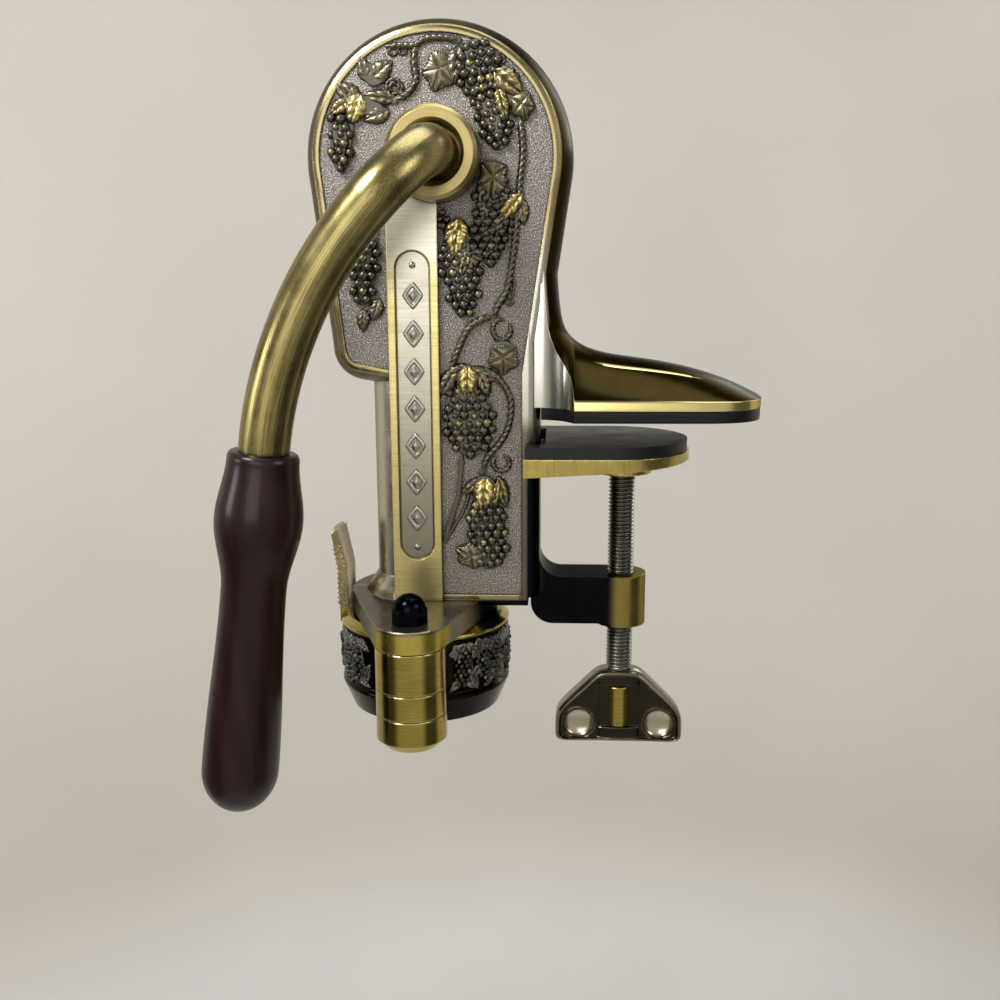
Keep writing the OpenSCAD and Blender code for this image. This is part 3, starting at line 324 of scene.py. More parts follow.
def round_worm(radius: np.ndarray, bearing: np.ndarray, height: np.ndarray) -> np.ndarray:
    """Places at a radius and bearing about the worm's axis."""
    return np.stack([WORM_X + radius * np.cos(bearing), radius * np.sin(bearing), height], axis=1)


class NodeTree:
    """A material's nodes, added one by one and linked as they come."""

    def __init__(self, name: str) -> None:
        """Start an empty material with its shader and output."""
        self.made = bpy.data.materials.new(name)
        self.made.use_nodes = True
        self.tree = self.made.node_tree
        self.shader = self.tree.nodes["Principled BSDF"]

    def add(self, kind: str, settings: dict[str, object] | None = None, **sockets: object) -> bpy.types.Node:
        """Add a node.

        Args:
            kind: Short type name of the node, without its prefix.
            settings: Values of the node's own properties.
            **sockets: Inputs by name, with _ for a space; a socket is linked and a value is set.

        Returns:
            The new node.
        """
        node = self.tree.nodes.new("ShaderNode" + kind)
        for label, value in (settings or {}).items():
            setattr(node, label, value)
        for label, value in sockets.items():
            self.feed(node.inputs[label.replace("_", " ")], value)
        return node

    def feed(self, socket: bpy.types.NodeSocket, value: object) -> None:
        """Link a socket to another, or set its value."""
        if isinstance(value, bpy.types.NodeSocket):
            self.tree.links.new(value, socket)
        else:
            socket.default_value = value

    def math(self, operation: str, a: object, b: object = 0.0) -> bpy.types.NodeSocket:
        """Work out one step of arithmetic.

        Args:
            operation: Name of the step.
            a: First value or socket.
            b: Second value or socket, where the step has one.

        Returns:
            The result's socket.
        """
        node = self.tree.nodes.new("ShaderNodeMath")
        node.operation = operation
        self.feed(node.inputs[0], a)
        self.feed(node.inputs[1], b)
        return node.outputs[0]

    def product(self, first: object, *others: object) -> object:
        """Multiply values together."""
        for other in others:
            first = self.math("MULTIPLY", first, other)
        return first

    def axes(self, vector: object) -> bpy.types.bpy_prop_collection:
        """Take a vector apart into its X, Y and Z."""
        return self.add("SeparateXYZ", None, Vector=vector).outputs

    def span(self, value: object, low: float, high: float, start: float, end: float) -> bpy.types.NodeSocket:
        """Map a value from one span to another, eased and held at both ends.

        Args:
            value: Value or socket to map.
            low: Value that gives start.
            high: Value that gives end.
            start: Result at low.
            end: Result at high.

        Returns:
            The result's socket.
        """
        node = self.add("MapRange", {"interpolation_type": "SMOOTHSTEP"}, Value=value)
        for label, bound in (("From Min", low), ("From Max", high), ("To Min", start), ("To Max", end)):
            node.inputs[label].default_value = bound
        return node.outputs["Result"]

    def blend(self, share: object, a: object, b: object) -> bpy.types.NodeSocket:
        """Mix two colours.

        Args:
            share: Share of the second colour.
            a: First colour.
            b: Second colour.

        Returns:
            The mixed colour's socket.
        """
        node = self.add("Mix", {"data_type": "RGBA"})
        self.feed(node.inputs[0], share)
        self.feed(node.inputs[6], a)
        self.feed(node.inputs[7], b)
        return node.outputs[2]

    def noise(self, vector: object, scale: float, detail: float = 3.0) -> bpy.types.NodeSocket:
        """Cloudy noise on a vector, with the scale in cycles a metre."""
        return self.add("TexNoise", None, Vector=vector, Scale=scale, Detail=detail).outputs["Fac"]

    def radius(self, place: object, centre: tuple[float, float, float], axes: str) -> bpy.types.NodeSocket:
        """Measure the distance from an axis.

        Args:
            place: Socket of the object coordinates.
            centre: A place on the axis, in millimetres.
            axes: The two axes that the distance is read along.

        Returns:
            The distance in metres.
        """
        shifted = self.add("VectorMath", {"operation": "SUBTRACT"})
        self.feed(shifted.inputs[0], place)
        shifted.inputs[1].default_value = tuple(MM * value for value in centre)
        parts = self.axes(shifted.outputs[0])
        squares = [self.product(parts[axis], parts[axis]) for axis in axes]
        return self.math("SQRT", self.math("ADD", *squares))


# Spans of the metals: a value's two ends and the shares there
EDGE_WEAR = (0.99, 0.8, 0.0, 1.0)
WEAR_PATCHES = (0.25, 0.6, 0.35, 0.9)
WEAR_IN_OPEN = (0.45, 0.8, 0.0, 1.0)
# Crevice darkening read from ambient occlusion: patina in the casting's hollows, and painted shade in the
# gaps between parts
CREVICE_PATINA_AND_SHADE = (0.35, 0.85, 0.85, 0.0)
DARK_GRIT = (0.5, 0.34, 0.0, 0.75)
PALE_GRIT = (0.54, 0.68, 0.0, 0.85)
# Middle range of a noise, which the roughness of most finishes follows
NOISE_RANGE = (0.3, 0.7)
# Cycles a metre of stains, specks and brush marks across and along
CLOUD_SCALE = 70.0
SPECK_SCALE = 900.0
MARKS_ACROSS = 2600.0
MARKS_ALONG = 45.0
# Shares of a wood's figure and pores, and cycles a metre across and along its grain
WOOD_FIGURE = (0.35, 0.7, 0.0, 1.0)
WOOD_PORES = (0.56, 0.7, 0.0, 0.8)
FIBRE_SCALE = (160.0, 160.0, 9.0)
PORE_SCALE = (1800.0, 1800.0, 120.0)
# Heights in metres between which the backdrop's floor turns into its wall, and places of its dim sides
FLOOR_TO_WALL = (-0.93, -0.8, 0.0, 1.0)
DIM_ASIDE = (0.62, 0.9, 0.0, 1.0)
DIM_IN_FRONT = (0.25, -0.05, 0.0, 1.0)


class Finish:
    """A look that pieces and nodes share."""

    name: str

    def material(self) -> bpy.types.Material:
        """Hand out the finish's material, built the first time it is asked for."""
        return bpy.data.materials.get(self.name) or self.build()

    def build(self) -> bpy.types.Material:
        """Build the finish's material."""
        raise NotImplementedError

    def dress(self, *nodes: str) -> None:
        """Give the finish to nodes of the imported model."""
        for name in nodes:
            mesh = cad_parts[name].data
            mesh.materials.clear()
            mesh.materials.append(self.material())
            LOG.info("%s: %s", name, self.name)


@dataclass(frozen=True)
class Zone:
    """A part of a surface with its own colour.

    Attributes:
        colour: Colour of the zone.
        mask: Function that marks the zone, from the material's nodes and the object coordinates.
        wears: Whether edges wear bright and the ground is pebbled in it.
    """

    colour: Rgb
    mask: Callable[[NodeTree, object], object]
    wears: bool = True


@dataclass(frozen=True)
class PatinaMetal(Finish):
    """Metal with a darkened ground, bright worn edges and brush marks.

    Attributes:
        name: Name of the material.
        base: Colour of the open surface.
        worn: Colour of rubbed edges and high points.
        tarnish: Colour of crevices and stains.
        rough: Lowest and highest roughness.
        grain: Way of the brush marks.
        grain_depth: How strongly the brush marks show.
        stain: Share of the surface that is stained.
        wear_radius: Reach of the worn edge, in millimetres.
        crevice: Reach of the dark in crevices, in millimetres.
        pebble: Size of a pebbled ground in millimetres, 0 for none.
        rub_and_highlight_colour: Colour that the piece's own rub_and_highlight attribute brings out, rubbed
            wear on the relief and a painted highlight on the foot, or None.
        zones: Parts with their own colour, later ones over earlier ones.
        glancing: How much of the reflection is kept at a glancing angle.
    """

    name: str
    base: Rgb
    worn: Rgb
    tarnish: Rgb
    rough: tuple[float, float] = (0.2, 0.36)
    grain: Grain = Grain.NONE
    grain_depth: float = 0.12
    stain: float = 0.45
    wear_radius: float = 0.9
    crevice: float = 4.0
    pebble: float = 0.0
    rub_and_highlight_colour: Rgb | None = None
    zones: tuple[Zone, ...] = ()
    glancing: float = 1.0

    def marks(self, tree: NodeTree, place: object) -> bpy.types.NodeSocket:
        """Noise drawn out along the brush marks.

        Args:
            tree: Material in the making.
            place: Socket of the object coordinates.

        Returns:
            The noise's value.
        """
        fine, slow = MARKS_ACROSS, MARKS_ALONG
        if self.grain is Grain.ROUND_HUB:
            reach = tree.radius(place, (LEVER_AXIS[0], 0.0, LEVER_AXIS[1]), "XZ")
            vector = tree.add("CombineXYZ", None, X=tree.product(reach, fine)).outputs[0]
            return tree.noise(vector, 1.0, 4.0)
        if self.grain is Grain.ALONG_ROD:
            reach = tree.radius(place, (SWEEP_CENTRE[0], 0.0, SWEEP_CENTRE[1]), "XZ")
            parts = tree.axes(place)
            scaled = {
                "X": tree.product(reach, fine),
                "Y": tree.product(parts["Y"], fine),
                "Z": tree.product(parts["Z"], slow),
            }
            vector = tree.add("CombineXYZ", None, **scaled).outputs[0]
            return tree.noise(vector, 1.0, 4.0)
        scale = {
            Grain.LEVEL: (slow, slow, fine),
            Grain.UPRIGHT: (fine, fine, slow),
        }.get(self.grain, (fine, fine, fine))
        drawn = tree.add("Mapping", None, Vector=place, Scale=scale).outputs[0]
        return tree.noise(drawn, 1.0, 4.0)

    def build(self) -> bpy.types.Material:
        """Build the metal: stains, crevices, worn edges, brush marks and a fine bump."""
        tree = NodeTree(self.name)
        place = tree.add("TexCoord").outputs["Object"]
        soft = tree.add("Bevel", {"samples": 4}, Radius=self.wear_radius * MM).outputs[0]
        flat = tree.add("NewGeometry").outputs["Normal"]
        turn = tree.add("VectorMath", {"operation": "DOT_PRODUCT"})
        tree.feed(turn.inputs[0], soft)
        tree.feed(turn.inputs[1], flat)
        edge = tree.span(turn.outputs["Value"], *EDGE_WEAR)
        open_sky = tree.add("AmbientOcclusion", {"samples": 6}, Distance=self.crevice * MM).outputs["AO"]
        cloud = tree.noise(place, CLOUD_SCALE, 5.0)
        speck = tree.noise(place, SPECK_SCALE, 3.0)
        mark = self.marks(tree, place)
        stained = tree.span(cloud, 0.75 - self.stain, 1.0 - 0.45 * self.stain, 1.0, 0.0)
        stain_share = tree.product(stained, 0.75 * self.stain)
        colour = tree.blend(stain_share, linear(self.base), linear(self.tarnish))
        lively: object = 1.0
        for zone in self.zones:
            share = zone.mask(tree, place)
            colour = tree.blend(share, colour, linear(zone.colour))
            if not zone.wears:
                lively = tree.product(lively, tree.math("SUBTRACT", 1.0, share))
        streak = tree.span(mark, 0.3, 0.75, 0.0, 2.2 * self.grain_depth)
        colour = tree.blend(streak, colour, linear(self.tarnish))
        # Darken crevices towards the tarnish: patina in hollows and painted shade between parts
        patina_and_shade = tree.span(open_sky, *CREVICE_PATINA_AND_SHADE)
        colour = tree.blend(patina_and_shade, colour, linear(self.tarnish))
        patchy = tree.span(speck, *WEAR_PATCHES)
        lit_edge = tree.product(edge, lively, patchy, tree.span(open_sky, *WEAR_IN_OPEN))
        colour = tree.blend(lit_edge, colour, linear(self.worn))
        # The attribute brings in rubbed wear on the relief and painted highlights on the foot
        if self.rub_and_highlight_colour is not None:
            shine = tree.add("Attribute", {"attribute_name": "rub_and_highlight"}).outputs["Fac"]
            colour = tree.blend(shine, colour, linear(self.rub_and_highlight_colour))
        if self.pebble > 0.0:
            grit = tree.noise(place, 1.0 / (self.pebble * MM), 2.0)
            dark_grit = tree.product(tree.span(grit, *DARK_GRIT), lively)
            pale_grit = tree.product(tree.span(grit, *PALE_GRIT), lively)
            colour = tree.blend(dark_grit, colour, linear(self.tarnish))
            colour = tree.blend(pale_grit, colour, linear(self.worn))
        tree.feed(tree.shader.inputs["Base Color"], colour)
        tree.shader.inputs["Metallic"].default_value = 1.0
        tree.shader.inputs["Specular Tint"].default_value = (self.glancing, self.glancing, self.glancing, 1.0)
        uneven = tree.math("ADD", tree.product(cloud, 0.6), tree.product(mark, 0.4))
        tree.feed(tree.shader.inputs["Roughness"], tree.span(uneven, *NOISE_RANGE, *self.rough))
        height = tree.math("ADD", tree.product(mark, self.grain_depth), tree.product(speck, 0.04))
        bump = tree.add("Bump", None, Strength=0.35, Distance=0.0002, Height=height, Normal=soft)
        if self.pebble > 0.0:
            strength, distance = tree.product(lively, 0.9), 0.9 * self.pebble * MM
            fine = bump.outputs[0]
            bump = tree.add("Bump", None, Strength=strength, Distance=distance, Height=grit, Normal=fine)
        tree.feed(tree.shader.inputs["Normal"], bump.outputs[0])
        return tree.made


@dataclass(frozen=True)
class Rubber(Finish):
    """Moulded rubber with a fine skin and dust in places.

    Attributes:
        name: Name of the material.
        base: Colour of the clean skin.
        dust: Colour of the dusty places.
    """

    name: str
    base: Rgb
    dust: Rgb

    def build(self) -> bpy.types.Material:
        """Build the rubber: cloudy dust, a matt skin and a fine bump."""
        tree = NodeTree(self.name)
        place = tree.add("TexCoord").outputs["Object"]
        cloud = tree.noise(place, 90.0, 5.0)
        skin = tree.noise(place, 2200.0, 3.0)
        dusty = tree.span(cloud, 0.5, 0.8, 0.0, 0.5)
        tree.feed(tree.shader.inputs["Base Color"], tree.blend(dusty, linear(self.base), linear(self.dust)))
        tree.feed(tree.shader.inputs["Roughness"], tree.span(cloud, *NOISE_RANGE, 0.36, 0.44))
        tree.shader.inputs["Specular IOR Level"].default_value = 0.35
        bump = tree.add("Bump", None, Strength=0.3, Distance=0.0002, Height=skin)
        tree.feed(tree.shader.inputs["Normal"], bump.outputs[0])
        return tree.made


@dataclass(frozen=True)
class TurnedWood(Finish):
    """Dark stained wood under a satin lacquer, with its figure drawn out along the grip.

    Attributes:
        name: Name of the material.
        base: Colour between the pores.
        figure: Colour of the lighter figure.
        pore: Colour of the pores.
        lean: Angle of the grip's axis from upright, in degrees.
    """

    name: str
    base: Rgb
    figure: Rgb
    pore: Rgb
    lean: float

    def build(self) -> bpy.types.Material:
        """Build the wood: long figure, short pores and a clear coat."""
        tree = NodeTree(self.name)
        place = tree.add("TexCoord").outputs["Object"]
        lean = (0.0, math.radians(self.lean), 0.0)
        upright = tree.add("Mapping", None, Vector=place, Rotation=lean).outputs[0]
        long_fibre = tree.add("Mapping", None, Vector=upright, Scale=FIBRE_SCALE).outputs[0]
        short_pore = tree.add("Mapping", None, Vector=upright, Scale=PORE_SCALE).outputs[0]
        fibre = tree.noise(long_fibre, 1.0, 5.0)
        pores = tree.noise(short_pore, 1.0, 2.0)
        colour = tree.blend(tree.span(fibre, *WOOD_FIGURE), linear(self.base), linear(self.figure))
        colour = tree.blend(tree.span(pores, *WOOD_PORES), colour, linear(self.pore))
        tree.feed(tree.shader.inputs["Base Color"], colour)
        tree.feed(tree.shader.inputs["Roughness"], tree.span(fibre, *NOISE_RANGE, 0.32, 0.46))
        tree.shader.inputs["Specular IOR Level"].default_value = 0.2
        tree.shader.inputs["Coat Weight"].default_value = 0.22
        tree.shader.inputs["Coat Roughness"].default_value = 0.16
        bump = tree.add("Bump", None, Strength=0.25, Distance=0.00015, Height=pores)
        tree.feed(tree.shader.inputs["Normal"], bump.outputs[0])
        return tree.made


@dataclass(frozen=True)
class Backcloth(Finish):
    """Plain backdrop: a pale floor and wall, with the wall dim to the left and right of the camera.

    Attributes:
        name: Name of the material.
        floor: Colour of the floor.
        wall: Colour of the wall behind and before the object.
        dim: Colour of the wall at its sides.
    """

    name: str
    floor: Rgb
    wall: Rgb
    dim: Rgb

    def build(self) -> bpy.types.Material:
        """Build the backdrop: three plain colours that fade into each other, with faint clouds."""
        tree = NodeTree(self.name)
        place = tree.add("TexCoord").outputs["Object"]
        parts = tree.axes(place)
        upright = tree.span(parts["Z"], *FLOOR_TO_WALL)
        colour = tree.blend(upright, linear(self.floor), linear(self.wall))
        aside = tree.span(tree.math("ABSOLUTE", parts["X"]), *DIM_ASIDE)
        aside = tree.product(aside, tree.span(parts["Y"], *DIM_IN_FRONT))
        colour = tree.blend(aside, colour, linear(self.dim))
        cloud = tree.span(tree.noise(place, 2.5, 2.0), *NOISE_RANGE, 0.0, 0.06)
        colour = tree.blend(cloud, colour, linear(self.dim))
        tree.feed(tree.shader.inputs["Base Color"], colour)
        tree.shader.inputs["Roughness"].default_value = 0.9
        return tree.made


@dataclass(frozen=True)
class Ramp:
    """An eased step along one axis of the model.

    Attributes:
        axis: X, Y or Z.
        nil: Place in millimetres where it is at its least.
        full: Place in millimetres where it is at its most.
        least: Its value at nil.
        most: Its value at full.
        mirrored: Whether it reads the distance from the axis's zero, so that both sides are alike.
    """

    axis: str
    nil: float
    full: float
    least: float = 0.0
    most: float = 1.0
    mirrored: bool = False


class Region:
    """A part of the model where several eased steps hold together."""

    def __init__(self, *ramps: Ramp) -> None:
        """Keep the steps."""
        self.ramps = ramps

    def __call__(self, tree: NodeTree, place: object) -> object:
        """Multiply the steps' values at a place.

        Args:
            tree: Material in the making.
            place: Socket of the object coordinates.

        Returns:
            The share of the region, 0 outside and 1 inside.
        """
        parts = tree.axes(place)
        steps = []
        for ramp in self.ramps:
            along = tree.math("ABSOLUTE", parts[ramp.axis]) if ramp.mirrored else parts[ramp.axis]
            steps.append(tree.span(along, MM * ramp.nil, MM * ramp.full, ramp.least, ramp.most))
        return tree.product(*steps)


BESIDE_RIM = Ramp("Y", 20.5, 21.8, mirrored=True)
BEFORE_BOSS = Ramp("X", -1.5, -6.5)
BELOW_COUNTER = Ramp("Z", 2.0, -24.0)

# The clamp's arm with the spine's lower corner, the web's lower edge, and the boss on the screw
SPINE_CORNER = Region(Ramp("X", -43.2, -41.8), BEFORE_BOSS, BELOW_COUNTER)
WEB_EDGE = Region(Ramp("Z", -79.5, -80.8), Ramp("X", -72.0, -62.0), BEFORE_BOSS)
CLAMP_BOSS = Region(Ramp("X", -6.5, -1.5), BELOW_COUNTER)
# The head's swelling wall between its rims, the rim beside the foot with its painted pale reflection and the
# dull rim below the counter
# The swelling wall is darkened as painted shade
SHADED_OUTER_WALL = Region(
    Ramp("Y", 21.8, 20.5, mirrored=True), Ramp("X", -85.0, -50.0, 0.45), Ramp("Z", 0.0, 20.0),
)
NAPE_REFLECTION = Region(Ramp("X", -50.0, -45.0), BESIDE_RIM, Ramp("Z", 85.0, 55.0), Ramp("Z", -6.0, 4.0))
LOW_RIM = Region(Ramp("X", -46.5, -45.5), Ramp("Z", 4.0, -6.0))
# The worm tube between chin and flange and the flange, both painted pale as a reflection, and the flange's
# round front over the knuckles
TUBE_REFLECTION = Region(Ramp("X", -101.5, -103.5), Ramp("Z", 20.0, 14.0), Ramp("Z", -78.5, -76.5))
FLANGE_REFLECTION = Region(Ramp("Z", -78.5, -79.5), Ramp("X", -68.0, -73.0))
FLANGE_KNUCKLE = Region(Ramp("Z", -81.8, -82.2), Ramp("Y", -50.0, -56.0))
# What stands over the field, the strip above its recess with its painted pale reflection, and the jaws'
# finger tabs
SMOKED_RELIEF = Region(Ramp("Y", 22.1, 22.4, mirrored=True))
STRIP_HEAD_REFLECTION = Region(Ramp("Z", 55.0, 75.0, most=0.9))
FINGER_TABS = Region(Ramp("Z", -90.5, -88.5, most=0.85))
# The foot close to the spine, the collar below its bright top rim, and the lower part of the recess, where
# the painted reflection darkens
FLARE = Region(BESIDE_RIM, Ramp("X", -22.5, -24.5))
BELOW_COLLAR_RIM = Region(Ramp("Z", -95.5, -96.5))
RECESS_DARKER_REFLECTION = Region(Ramp("Z", 50.0, -60.0, most=0.75))


def arm_dark_reflection(tree: NodeTree, place: object) -> object:
    """Mark the clamp's arm and the web's lower edge, which get a painted dark reflection."""
    return tree.math("MAXIMUM", SPINE_CORNER(tree, place), WEB_EDGE(tree, place))


def smoked_collar(tree: NodeTree, place: object) -> object:
    """Mark the collar below its bright top rim, but not the knuckles outside it."""
    reach = tree.radius(place, (WORM_X, 0.0, 0.0), "XY")
    return tree.product(BELOW_COLLAR_RIM(tree, place), tree.span(reach, 39.1 * MM, 39.4 * MM, 1.0, 0.0))


def recess_reach(tree: NodeTree, place: object) -> object:
    """Measure the distance from the middle line of the strip's recess, which is a round-ended slot.

    Args:
        tree: Material in the making.
        place: Socket of the object coordinates.

    Returns:
        The distance in metres.
    """
    parts = tree.axes(place)
    low, high = (MM * value for value in RECESS_SPAN)
    half = (high - low) / 2.0 - MM * RECESS_RADIUS
    aside = tree.math("SUBTRACT", parts["X"], MM * WORM_X)
    along = tree.math("ABSOLUTE", tree.math("SUBTRACT", parts["Z"], (low + high) / 2.0))
    past = tree.math("MAXIMUM", tree.math("SUBTRACT", along, half), 0.0)
    return tree.math("SQRT", tree.math("ADD", tree.product(aside, aside), tree.product(past, past)))


def recess_floor(tree: NodeTree, place: object) -> object:
    """Mark the floor of the strip's recess, painted pale silver as a reflection."""
    radius, fade = MM * RECESS_RADIUS, 0.2 * MM
    return tree.span(recess_reach(tree, place), radius - fade, radius, 0.95, 0.0)


def recess_darker_reflection(tree: NodeTree, place: object) -> object:
    """Mark the recess's floor towards its lower end, where the painted reflection darkens."""
    return tree.product(recess_floor(tree, place), RECESS_DARKER_REFLECTION(tree, place))


def recess_border(tree: NodeTree, place: object) -> object:
    """Mark the dark line along the border of the strip's recess."""
    half_line = 0.3 * MM
    off = tree.math("SUBTRACT", recess_reach(tree, place), MM * RECESS_RADIUS - half_line)
    return tree.span(tree.math("ABSOLUTE", off), half_line, 2.0 * half_line, 0.95, 0.0)


def flare_reflection(tree: NodeTree, place: object) -> object:
    """Mark the foot's upright flare beside the spine, where its true normal is level, for a painted pale
    reflection.
    """
    tilt = tree.math("ABSOLUTE", tree.axes(tree.add("NewGeometry").outputs["True Normal"])["Z"])
    return tree.product(FLARE(tree, place), tree.span(tilt, 0.05, 0.2, 1.0, 0.0))


CAST_BRASS = PatinaMetal(
    "cast_brass", (176, 163, 122), (232, 218, 152), (66, 58, 36), (0.2, 0.34), Grain.NONE, 0.06, 0.35,
    zones=(
        # Painted shade on the head's swelling wall
        Zone((46, 40, 22), SHADED_OUTER_WALL),
        Zone((112, 106, 98), LOW_RIM, False),
        # Painted pale reflection on the rim beside the foot
        Zone((190, 188, 178), NAPE_REFLECTION),
        # Painted grey reflection on the flange
        Zone((150, 147, 136), FLANGE_REFLECTION),
        # Painted pale reflection on the worm tube
        Zone((216, 211, 194), TUBE_REFLECTION),
        Zone((204, 184, 92), FLANGE_KNUCKLE),
        Zone((150, 138, 76), CLAMP_BOSS),
        # Painted dark reflection on the clamp's arm and the web's lower edge
        Zone((13, 16, 23), arm_dark_reflection, False),
    ),
    glancing=0.45,
)
FIELD_PEWTER = PatinaMetal(
    "field_pewter", (142, 137, 131), (216, 212, 206), (54, 51, 48), (0.32, 0.46), Grain.NONE, 0.05, 0.25,
    pebble=0.55, zones=(Zone((92, 88, 80), SMOKED_RELIEF, False),),
)
STRIP_SILVER = PatinaMetal(
    "strip_silver", (216, 204, 140), (236, 222, 152), (120, 108, 70), (0.28, 0.4), Grain.LEVEL, 0.16, 0.2,
    zones=(
        # Painted reflection: pale silver on the strip's head and recess floor, darker towards the recess's
        # lower end
        Zone((222, 220, 208), STRIP_HEAD_REFLECTION),
        Zone((190, 188, 176), recess_floor),
        Zone((112, 108, 96), recess_darker_reflection),
        Zone((44, 41, 33), recess_border),
    ),
)
LOZENGE_SILVER = PatinaMetal(
    "lozenge_silver", (172, 170, 158), (214, 211, 196), (60, 57, 48), (0.24, 0.36), Grain.LEVEL, 0.1, 0.2,
    wear_radius=0.3, crevice=1.5,
)
HUB_BRASS = PatinaMetal(
    "hub_brass", (184, 168, 116), (230, 214, 150), (92, 80, 48), (0.3, 0.44), Grain.ROUND_HUB, 0.3, 0.2,
    wear_radius=0.4, crevice=2.5,
)
LEVER_BRASS = PatinaMetal(
    "lever_brass", (170, 158, 104), (220, 208, 150), (46, 40, 20), (0.22, 0.36), Grain.ALONG_ROD, 0.3, 0.55,
)
KNUCKLE_BRASS = PatinaMetal(
    "knuckle_brass", (202, 184, 98), (236, 220, 142), (58, 48, 22), (0.1, 0.22), Grain.LEVEL, 0.16, 0.35,
    zones=(Zone((158, 150, 128), FINGER_TABS), Zone((20, 20, 20), smoked_collar, False)),
)
PLATE_BRASS = PatinaMetal(
    "plate_brass", (208, 190, 110), (234, 220, 150), (92, 82, 44), (0.18, 0.32), Grain.UPRIGHT, 0.18, 0.35,
)
# The foot's dark base is a painted dark reflection on its upturned top; its lines and lip get a painted
# highlight through the rub_and_highlight attribute
FOOT_BRASS = PatinaMetal(
    "foot_brass", (44, 37, 17), (160, 146, 90), (16, 13, 6), (0.16, 0.26), Grain.NONE, 0.06, 0.45,
    # The flare zone is a painted pale reflection
    wear_radius=0.4, rub_and_highlight_colour=(240, 226, 154), zones=(Zone((196, 194, 184), flare_reflection, False),),
    glancing=0.45,
)
VINE_METAL = PatinaMetal(
    "vine_metal", (100, 96, 86), (196, 189, 168), (26, 24, 21), (0.28, 0.4), Grain.NONE, 0.05, 0.3,
    wear_radius=0.2, crevice=1.4, rub_and_highlight_colour=(226, 206, 134),
)
COLLAR_METAL = PatinaMetal(
    "collar_metal", (76, 75, 72), (190, 186, 176), (14, 14, 13), (0.18, 0.3), Grain.NONE, 0.05, 0.35,
    wear_radius=0.2, crevice=1.4, rub_and_highlight_colour=(176, 172, 162),
)
SCREW_STEEL = PatinaMetal(
    "screw_steel", (138, 136, 128), (192, 188, 174), (30, 28, 26), (0.22, 0.38), Grain.LEVEL, 0.08, 0.35,
    wear_radius=0.2, crevice=1.2,
)
WING_STEEL = PatinaMetal(
    "wing_steel", (62, 58, 48), (196, 184, 142), (24, 22, 18), (0.14, 0.26), Grain.NONE, 0.05, 0.4,
    wear_radius=0.6, rub_and_highlight_colour=(200, 193, 172),
)
BLUED_STEEL = PatinaMetal(
    "nut_blue", (16, 20, 27), (44, 50, 58), (5, 6, 8), (0.1, 0.2), Grain.NONE, 0.04, 0.35, wear_radius=0.2,
    glancing=0.6,
)
BRIGHT_STEEL = PatinaMetal(
    "plain_steel", (176, 176, 174), (216, 215, 210), (78, 77, 74), (0.2, 0.36), Grain.UPRIGHT, 0.12, 0.3,
)
DARK_STEEL = PatinaMetal(
    "oiled_steel", (92, 92, 92), (160, 158, 152), (30, 30, 30), (0.24, 0.4), Grain.NONE, 0.06, 0.4,
)
BEARING_BRASS = PatinaMetal(
    "bush_brass", (190, 160, 88), (226, 204, 130), (84, 66, 32), (0.22, 0.36), Grain.NONE, 0.06, 0.35,
)
BLACK_RUBBER = Rubber("pad_rubber", (9, 11, 14), (22, 24, 27))
MAHOGANY = TurnedWood("mahogany", (22, 7, 9), (36, 11, 13), (9, 4, 5), 7.0)
BACKCLOTH = Backcloth("backcloth", (222, 221, 220), (216, 211, 202), (84, 82, 79))


def balls(
    centres: np.ndarray, radii: np.ndarray, rub_and_highlight: np.ndarray, rows: int = 6, around: int = 12
) -> Surface:
    """Small balls on a flat ground.

    A point of a ball is its centre plus its radius times (sin a cos b, sin a sin b, cos a), with a from the
    top down and b round it. The rub is strongest at the top and falls with the cube of cos a.

    Args:
        centres: Place along, place across and height of each ball.
        radii: Radius of each ball.
        rub_and_highlight: Brightness at the top of each ball.
        rows: Rings between a ball's top and foot.
        around: Points in a ring.

    Returns:
        All the balls.
    """
    a = np.linspace(0.0, math.pi, rows + 2)[1:-1]
    b = bearings(around)
    grid_a, grid_b = np.meshgrid(a, b, indexing="ij")
    flat = np.sin(grid_a)
    unit = np.stack([flat * np.cos(grid_b), flat * np.sin(grid_b), np.cos(grid_a)], axis=-1)
    rings = centres[:, None, None] + radii[:, None, None, None] * unit
    pole = np.zeros((len(centres), 3))
    pole[:, 2] = radii
    shine = rub_and_highlight[:, None, None] * np.clip(np.cos(grid_a), 0.0, 1.0) ** 3
    return Surface.solids(rings, centres + pole, centres - pole, shine)


def rope(path: np.ndarray, radius: float, pitch: float, strands: int, rub_and_highlight: float) -> Surface:
    """A twisted vine that lies on a flat ground.

    Round each point of the path goes a ring whose radius swells and sinks with the strands, by the cosine of
    half the strands times the angle, less a turn for each pitch along the path. It thins towards its ends.

    Args:
        path: Places along the vine.
        radius: Radius over the strands.
        pitch: Length of one turn.
        strands: Number of strands.
        rub_and_highlight: Brightness of the strands' tops.

    Returns:
        The vine.
    """
    way = np.gradient(path, axis=0)
    way /= np.linalg.norm(way, axis=1, keepdims=True)
    run = np.concatenate([[0.0], np.cumsum(np.linalg.norm(np.diff(path, axis=0), axis=1))])
    angle = bearings(14)
    lobe = np.abs(np.cos(0.5 * strands * (angle[None] - FULL_TURN * run[:, None] / pitch)))
    core, end_share, bed = 0.6, 0.45, 0.35 * radius
    thin = end_share + (1.0 - end_share) * ease(np.minimum(run, run[-1] - run), 0.0, 3.0 * radius)
    reach = radius * (core + (1.0 - core) * lobe) * thin[:, None]
    across, up = np.cos(angle), np.sin(angle)
    along = path[:, :1] - way[:, 1:] * across * reach
    beside = path[:, 1:] + way[:, :1] * across * reach
    rings = np.stack([along, beside, bed + up * reach], axis=-1)
    shine = rub_and_highlight * np.clip(up, 0.0, 1.0)[None] ** 2 * lobe**2
    ends = np.concatenate([path[[0, -1]], np.full((2, 1), bed)], axis=1)
    return Surface.solid(rings, ends, shine)


